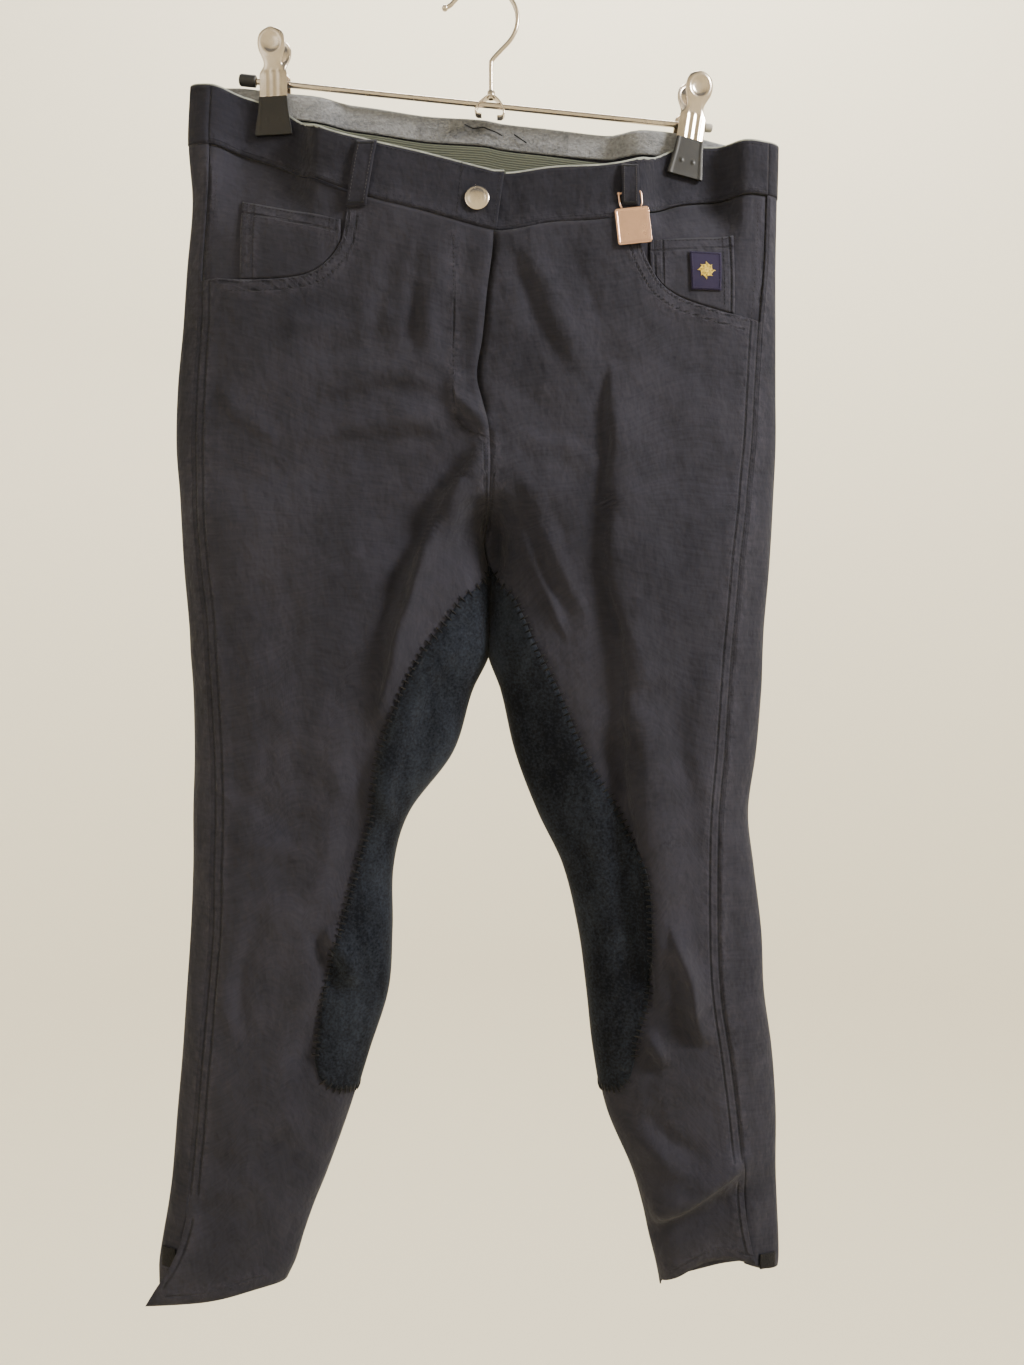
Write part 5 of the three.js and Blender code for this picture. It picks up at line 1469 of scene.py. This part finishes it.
def round_edges(piece, width, segments, sharper_than):
    edge = piece.modifiers.new("edge", "BEVEL")
    edge.width, edge.segments, edge.limit_method = width * MM, segments, "ANGLE"
    edge.angle_limit = math.radians(sharper_than)


def turned(profile, steps=48):
    """A bmesh spun about Z from a profile of (radius, height)."""
    bm = bmesh.new()
    knots = [bm.verts.new((r, 0, h)) for r, h in profile]
    edges = [bm.edges.new(pair) for pair in zip(knots, knots[1:])]
    bmesh.ops.spin(bm, geom=knots + edges, cent=(0, 0, 0), axis=(0, 0, 1), angle=2 * math.pi,
                   steps=steps, use_merge=True)
    bmesh.ops.remove_doubles(bm, verts=bm.verts[:], dist=0.0005)
    return bm


SNAP = {"x": -4, "z": -173, "radius": 9}
snap_profile = [
    (0, 0), (7.4, 0), (8.5, 0.35), (8.95, 0.95), (8.85, 1.55), (8.35, 1.95), (7.7, 2.05), (7.0, 2.1),
    (6.2, 2.45), (5.0, 2.8), (3.5, 3.05), (1.8, 3.17), (0, 3.2),
]
snap_mesh = turned(snap_profile)
snap_point, snap_normal = on_face(RIGHT, "front", [SNAP["x"]], [SNAP["z"]], BAND / 2 + 0.3)
snap_turn = Vector((0, 0, 1)).rotation_difference(Vector(snap_normal[0])).to_matrix().to_4x4()
snap_turn.translation = Vector(snap_point[0])
bmesh.ops.transform(snap_mesh, matrix=snap_turn, verts=snap_mesh.verts[:])
make_piece("snap_cap", snap_mesh, NICKEL, "nickel", "snap_button")

# Trim plate: a small rose-copper plate with a raised rim round a bare field, hung from the
# left belt loop by a wire bail that ends in a ball. It swings about the bail's crossbar.
PLATE_BODY = "plate"
hinge = frame["joints"][0]
HINGE = Vector(hinge["pos_m"]) / MM
TRIM = {"drop": 11.5, "width": 25, "height": 27, "thick": 1.4, "corner": 2, "rim": 1.5,
        "rim_slope": 0.35, "sunk": 0.5, "wire": 0.75}
BEAD = {"radius": 1.15, "x": -8.2, "y": -0.1}
plate_low, plate_high = (Vector(c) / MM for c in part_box("trim_plate"))
bar_line = -Vector(hinge["axis"]).normalized()
plate_middle = (plate_low + plate_high) / 2
plate_up = HINGE - plate_middle
plate_up = (plate_up - bar_line * plate_up.dot(bar_line)).normalized()
plate_out = bar_line.cross(plate_up).normalized()
if plate_out.y > 0:
    plate_out = -plate_out
plate_frame = Matrix((bar_line, -plate_out, plate_up)).transposed().to_4x4()
plate_frame.translation = HINGE

plate = bmesh.new()
plate_matrix = Matrix.Translation((0, 0, -TRIM["drop"] - TRIM["height"] / 2)) @ Matrix.Diagonal(
    (TRIM["width"], TRIM["thick"], TRIM["height"], 1))
bmesh.ops.create_cube(plate, size=1, matrix=plate_matrix)
upright = [e for e in plate.edges if abs(e.verts[0].co.y - e.verts[1].co.y) > 1]
bmesh.ops.bevel(plate, geom=upright, affect="EDGES", offset=TRIM["corner"], segments=5, profile=0.5,
                material=-1)
bmesh.ops.recalc_face_normals(plate, faces=plate.faces[:])
front_faces = [f for f in plate.faces if f.normal.y < -0.9]
bmesh.ops.inset_region(plate, faces=front_faces, thickness=TRIM["rim"], depth=0)
bmesh.ops.inset_region(plate, faces=front_faces, thickness=TRIM["rim_slope"], depth=-TRIM["sunk"])
bmesh.ops.transform(plate, matrix=plate_frame, verts=plate.verts[:])
plate_piece = make_piece("loop_plate", plate, COPPER, "copper", "trim_plate", body=PLATE_BODY)
round_edges(plate_piece, 0.16, 2, 30)

half_bail = [(7.0, -10.9), (8.1, -8.6), (8.2, -4.5), (8.2, -1.6), (7.7, -0.5), (6.8, 0)]
bail_line = [(-x, z) for x, z in half_bail] + [(0, 0)] + half_bail[::-1]
bail_points = [plate_frame @ Vector((x, 0, z)) for x, z in smooth_line(bail_line, 60)]
bail = rod_along("loop_bail", bail_points, TRIM["wire"], 12, PLATE_BODY)
finish_piece(bail, COPPER, "copper", "trim_bail")
bead = bmesh.new()
bmesh.ops.create_uvsphere(bead, u_segments=16, v_segments=12, radius=BEAD["radius"],
                          matrix=plate_frame @ Matrix.Translation((BEAD["x"], BEAD["y"], 0)))
make_piece("bail_bead", bead, COPPER, "copper", body=PLATE_BODY)

# Badge: a small woven patch on the left coin pocket, bound with thread, with a plain gold
# rosette of satin stitches.
BADGE = {"x1": 153, "x2": 177, "z1": -209, "z2": -238}
BADGE_OFFSET = PANEL / 2 + 0.3 + 0.5


def badge_cloth():
    material, shader, start = new_finish("badge_cloth", (0.012, 0.009, 0.03), 0.8, Specular_IOR_Level=0.15,
                                         Sheen_Weight=0.05)
    u, v = start.cloth_map()[1:]
    rows = v.waves(0.0007)
    warp = u.waves(0.0006)
    tone = rows * 0.6 + warp * 0.4
    drive(shader, Base_Color=start.mix(tone, (0.008, 0.006, 0.018), (0.026, 0.02, 0.055)),
          Normal=bumped(start, tone, 0.6, 0.2))
    return material


def badge_place(x, z, offset=0.0):
    return on_face(LEFT, "front", x, z, BADGE_OFFSET + offset)


def place_badge(across, down):
    taper = 1 * down
    x1, x2 = BADGE["x1"] + taper, BADGE["x2"] - taper
    return badge_place(x1 + (x2 - x1) * across, BADGE["z1"] + (BADGE["z2"] - BADGE["z1"]) * down)


badge = lay_cloth("badge_patch", 24, 20, place_badge, 1.0)
finish_piece(badge, badge_cloth(), "badge_cloth", "pocket_badge")
GOLD = thread("gold_thread", (0.42, 0.31, 0.06))
NAVY_THREAD = thread("navy_thread", (0.014, 0.011, 0.03))
rim_line = resampled([(154.2, -210), (175.8, -210), (175, -236.8), (155.2, -236.8), (154.2, -210)], 1)
sew("badge_binding", [badge_place(rim_line[:, 0], rim_line[:, 1], 0.55)], NAVY_THREAD, 2.0, 1.0, 0.8, True)
CENTRE_OF_BADGE = np.array([165.0, -223.5])
PETALS = {"count": 8, "long": 8.0, "short": 6.4, "bulge": 2.0, "stitches": 7}
petal_runs = []
for k in range(PETALS["count"]):
    turn = 2 * math.pi * k / PETALS["count"]
    out = np.array([math.cos(turn), math.sin(turn)])
    cross = np.array([-out[1], out[0]])
    reach = PETALS["short"] if k % 2 else PETALS["long"]
    for step in np.linspace(-1, 1, PETALS["stitches"]):
        bulge = PETALS["bulge"] * (1 - step**2)
        start_at = CENTRE_OF_BADGE + out * (2.1 + reach * 0.42 * (1 + step) * 0.5) - cross * bulge * 0.9
        end_at = CENTRE_OF_BADGE + out * (2.6 + reach * 0.72 * (1 + step) * 0.5) + cross * bulge * 0.9
        line = np.array([start_at, end_at])
        petal_runs.append(badge_place(line[:, 0], line[:, 1], 0.8))
for radius in (0.7, 1.5):
    turns = np.linspace(0, 2 * math.pi, 9)
    ring = CENTRE_OF_BADGE + radius * np.stack([np.cos(turns), np.sin(turns)], axis=1)
    petal_runs.append(badge_place(ring[:, 0], ring[:, 1], 0.8))
sew("badge_rosette", petal_runs, GOLD, length=3.4, width=0.75)

# Hanger: a bent wire hook with a ball tip, a straight rod with moulded caps, and the pressed
# saddle that joins them.
HOOK = {"radius": 24.1, "wire": 1.7, "stem_x": 5.7, "ball": 2.5}
hook_line = HOOK["radius"] + HOOK["wire"]
arc = [(hook_line * math.cos(a), hook_line * math.sin(a) - HOOK["radius"])
       for a in np.radians(np.linspace(146, -36, 9))]
hook_points = [(-28.5, -15.4), (-25, -13.6), *arc, (13, -48), (6.7, -55), (5.7, -60), (5.7, -81)]
hook_curve = smooth_line(hook_points, 180)
hook = rod_along("hanger_hook", [(x, 0, z) for x, z in hook_curve], HOOK["wire"], 24)
finish_piece(hook, NICKEL, "nickel", "hook")
ball = bmesh.new()
bmesh.ops.create_uvsphere(ball, u_segments=24, v_segments=16, radius=HOOK["ball"],
                          matrix=Matrix.Translation((-29.2, 0, -15.8)))
make_piece("hook_ball", ball, NICKEL, "nickel")

ROD = {"radius": 2.25, "left": -181, "right": 168, "x": -40.7, "z": -85.1, "slope": -0.1028}


def rod_height(x):
    return ROD["z"] + (x - ROD["x"]) * ROD["slope"]


def on_rod(x):
    """The matrix that puts a piece drawn along Z onto the rod at x."""
    return (Matrix.Translation((x, 0, rod_height(x))) @ Matrix.Rotation(-math.atan(ROD["slope"]), 4, "Y")
            @ Matrix.Rotation(math.radians(90), 4, "Y"))


rod_length = (ROD["right"] - ROD["left"]) / math.cos(math.atan(ROD["slope"]))
rod = bmesh.new()
bmesh.ops.create_cone(rod, cap_ends=True, segments=40, radius1=ROD["radius"], radius2=ROD["radius"],
                      depth=rod_length, matrix=on_rod((ROD["left"] + ROD["right"]) / 2))
ends = [e for e in rod.edges if e.calc_face_angle(0) > 1]
bmesh.ops.bevel(rod, geom=ends, affect="EDGES", offset=0.4, segments=3, profile=0.5, material=-1)
make_piece("hanger_rod", rod, NICKEL, "nickel", "rod")
for name, x, length, radius, way, material in (
    ("right", -185.5, 13, 4.5, 1, BLACK_CAP), ("left", 174, 6, 3.2, -1, GREY_CAP),
):
    bore = ROD["radius"] + 0.05
    profile = [(0, 0), (radius * 0.5, 0.1), (radius * 0.85, 0.7), (radius, 2), (radius, length - 0.6),
               (radius - 0.5, length), (bore, length), (bore, 3), (0, 3)]
    cap = turned([(r, h * way) for r, h in profile])
    bmesh.ops.transform(cap, matrix=on_rod(x), verts=cap.verts[:])
    slot = "black_cap" if way > 0 else "grey_cap"
    make_piece(f"end_cap_{name}", cap, material, slot, f"rod_cap_{name}")

# Saddle: a nickel collar on the hook's stem and a pressed strap that arches over the rod,
# bent from one strip with its edges rounded.
SADDLE_STRAP = [(-1.4, -97.4), (-4.6, -97), (-6, -94.6), (-4.6, -90.6), (-0.6, -86.4), (3.4, -83.8),
                (8.2, -83.8), (12.2, -87.6), (15, -92.6), (15.6, -96.6), (13.6, -99), (10.4, -99)]
STRAP_HALF_WIDTH, STRAP_THICK = 3.6, 1.2
saddle = bmesh.new()
strap_rows = [[saddle.verts.new((x, y, z)) for y in np.linspace(-STRAP_HALF_WIDTH, STRAP_HALF_WIDTH, 5)]
              for x, z in smooth_line(SADDLE_STRAP, 54)]
for row, after in zip(strap_rows, strap_rows[1:]):
    for k in range(4):
        saddle.faces.new((row[k], row[k + 1], after[k + 1], after[k]))
strap = make_piece("hanger_saddle", saddle, NICKEL, "nickel", "saddle")
thicken(strap, STRAP_THICK)
round_edges(strap, 0.3, 2, 50)
collar = turned([(1.75, -85), (2.9, -85), (3.1, -84.4), (3.1, -79.8), (2.6, -79), (1.75, -79)], 32)
bmesh.ops.translate(collar, vec=(HOOK["stem_x"], 0, 0), verts=collar.verts[:])
make_piece("saddle_collar", collar, NICKEL, "nickel")

# Clips: each half is pressed from one strip, with a dished round grip, a neck, a ribbed
# body over the rod, and a flared jaw dipped in black vinyl. A coil spring lies inside.
HANDLE = Table("z half y", [
    (37.5, 0.6, 10.6), (36.9, 3.6, 10.5), (35.2, 6.9, 10.35), (32, 9.3, 10), (27.5, 10.3, 9.4),
    (22.5, 9.9, 8.7), (18, 8.0, 8.0), (14.5, 6.7, 7.3), (11, 6.6, 6.6), (8, 8.4, 6.1),
    (5.5, 10.1, 5.9), (0, 10.3, 5.9), (-7, 10.3, 6.1), (-13, 10.4, 6.4),
])
JAW = Table("z half y", [
    (-13.3, 10.6, 7.05), (-22, 11.2, 7.05), (-32, 12.6, 7.05), (-39, 13.7, 7.05), (-42.5, 13.9, 7.2),
])
DISH = {"z": 27, "radius": 6.4, "depth": 1.6}
RIBS = {"spacing": 5.2, "width": 1.3, "height": 0.7, "top": 6.5}
STUDS = {"x": 4.6, "z": -31, "height": 0.5, "spread": 1.1}
COIL = {"turns": 9, "radius": 4.4, "half": 4.6, "wire": 0.45, "points": 260}


def clip_half(name, rows, thick, sign, frame_of, columns, levels, dished, material, slot, node):
    bm = bmesh.new()
    bmesh.ops.create_grid(bm, x_segments=columns, y_segments=levels, size=0.5)
    table_top, table_low = rows.along[-1], rows.along[0]
    for vertex in bm.verts:
        across, down = vertex.co.x * 2, 0.5 - vertex.co.y
        z = table_top + (table_low - table_top) * down
        half = float(rows.at("half", z))
        x = half * across
        out = float(rows.at("y", z))
        if dished:
            reach = math.hypot(x, z - DISH["z"]) / DISH["radius"]
            out -= DISH["depth"] * math.exp(-(reach**4))
            out += 0.5 * math.exp(-(((reach - 1.25) / 0.25) ** 2))
            body = 1 / (1 + math.exp((z - RIBS["top"]) * 1.5))
            for k in (-1, 0, 1):
                out += RIBS["height"] * body * math.exp(-(((x - k * RIBS["spacing"]) / RIBS["width"]) ** 2))
            out -= 0.9 * abs(across) ** 6
        else:
            out += 0.25 * math.exp(-(((abs(across) - 0.86) / 0.08) ** 2))
            for dot in (-STUDS["x"], STUDS["x"]):
                away = (x - dot) ** 2 + (z - STUDS["z"]) ** 2
                out += STUDS["height"] * math.exp(-away / STUDS["spread"])
        vertex.co = (x, sign * out, z)
    bmesh.ops.recalc_face_normals(bm, faces=bm.faces[:])
    bmesh.ops.transform(bm, matrix=frame_of, verts=bm.verts[:])
    half_piece = make_piece(name, bm, material, slot, node)
    thicken(half_piece, thick)
    round_edges(half_piece, 0.3, 3, 50)


for clip in CLIPS:
    frame_of = (Matrix.Translation((clip["x"], 0, rod_height(clip["x"])))
                @ Matrix.Rotation(math.radians(clip["turn"]), 4, "Z")
                @ Matrix.Rotation(math.radians(clip["lean"]), 4, "Y"))
    for face, sign in (("front", -1), ("back", 1)):
        label = f"clip_{clip['name']}"
        clip_half(f"grip_{clip['name']}_{face}", HANDLE, 1.2, sign, frame_of, 36, 84, True,
                  NICKEL, "nickel", f"{label}_handle_{face}")
        clip_half(f"jaw_{clip['name']}_{face}", JAW, 2.4, sign, frame_of, 40, 44, False,
                  DIP, "black_dip", f"{label}_jaw_{face}")
    shares = np.linspace(0, 1, COIL["points"])
    turns = shares * COIL["turns"] * 2 * math.pi
    coil = [frame_of @ Vector((COIL["half"] * (2 * share - 1), COIL["radius"] * math.cos(turn),
                               COIL["radius"] * math.sin(turn))) for share, turn in zip(shares, turns)]
    spring = rod_along(f"spring_{clip['name']}", coil, COIL["wire"])
    finish_piece(spring, NICKEL, "nickel", f"clip_{clip['name']}_barrel")

# The room: a pale plain bowl that is both floor and wall, far from the garment, and soft
# studio lamps. The strongest stands high on the right.
BOWL = {"flat": 1.5, "curve": 0.9, "floor": -2.2, "wall_top": 2.4}
rounding = [(BOWL["flat"] + BOWL["curve"] * math.sin(a), BOWL["floor"] + BOWL["curve"] * (1 - math.cos(a)))
            for a in np.linspace(0.1, math.pi / 2, 10)]
bowl = turned([(0, BOWL["floor"]), (BOWL["flat"], BOWL["floor"]), *rounding,
               (BOWL["flat"] + BOWL["curve"], BOWL["wall_top"])], 96)
bmesh.ops.recalc_face_normals(bowl, faces=bowl.faces[:])
bmesh.ops.reverse_faces(bowl, faces=bowl.faces[:])
bowl_mesh = mesh_of("studio_bowl", bowl)
studio = bpy.data.objects.new("studio_bowl", bowl_mesh)
bpy.context.scene.collection.objects.link(studio)
paper, paper_shader, paper_start = new_finish("studio_paper", (0.72, 0.675, 0.56), 0.95)
grain = paper_start.noise(paper_start.place(), 160, 3)
drive(paper_shader, Normal=bumped(paper_start, grain, 0.15, 1))
bowl_mesh.materials.append(paper)

# Each lamp: where it stands, what it faces, its size, its power and its colour.
LAMPS = {
    "key": ((1.75, -0.85, 0.7), (0, 0, -0.45), 0.5, 95, (1, 0.975, 0.94)),
    "fill": ((-1.5, -1.3, 0.1), (0, 0, -0.5), 1.4, 7, (0.93, 0.96, 1)),
    "rear": ((-0.6, 1.5, 1.1), (0, 0, -0.5), 1.0, 22, (1, 0.97, 0.93)),
    "wall": ((0.3, 1.0, 2.0), (0, 2.4, -0.5), 1.5, 130, (1, 0.96, 0.87)),
}
for name, (stand, facing_point, size, power, colour) in LAMPS.items():
    light = bpy.data.lights.new(name, "AREA")
    light.energy, light.size, light.color = power, size, colour
    holder = bpy.data.objects.new(name, light)
    holder.location = stand
    aim = Vector(facing_point) - Vector(stand)
    holder.rotation_euler = aim.to_track_quat("-Z", "Y").to_euler()
    bpy.context.scene.collection.objects.link(holder)
world = bpy.data.worlds.new("studio_air")
world.use_nodes = True
world.node_tree.nodes["Background"].inputs["Color"].default_value = (1, 0.985, 0.95, 1)
world.node_tree.nodes["Background"].inputs["Strength"].default_value = 0.34
bpy.context.scene.world = world
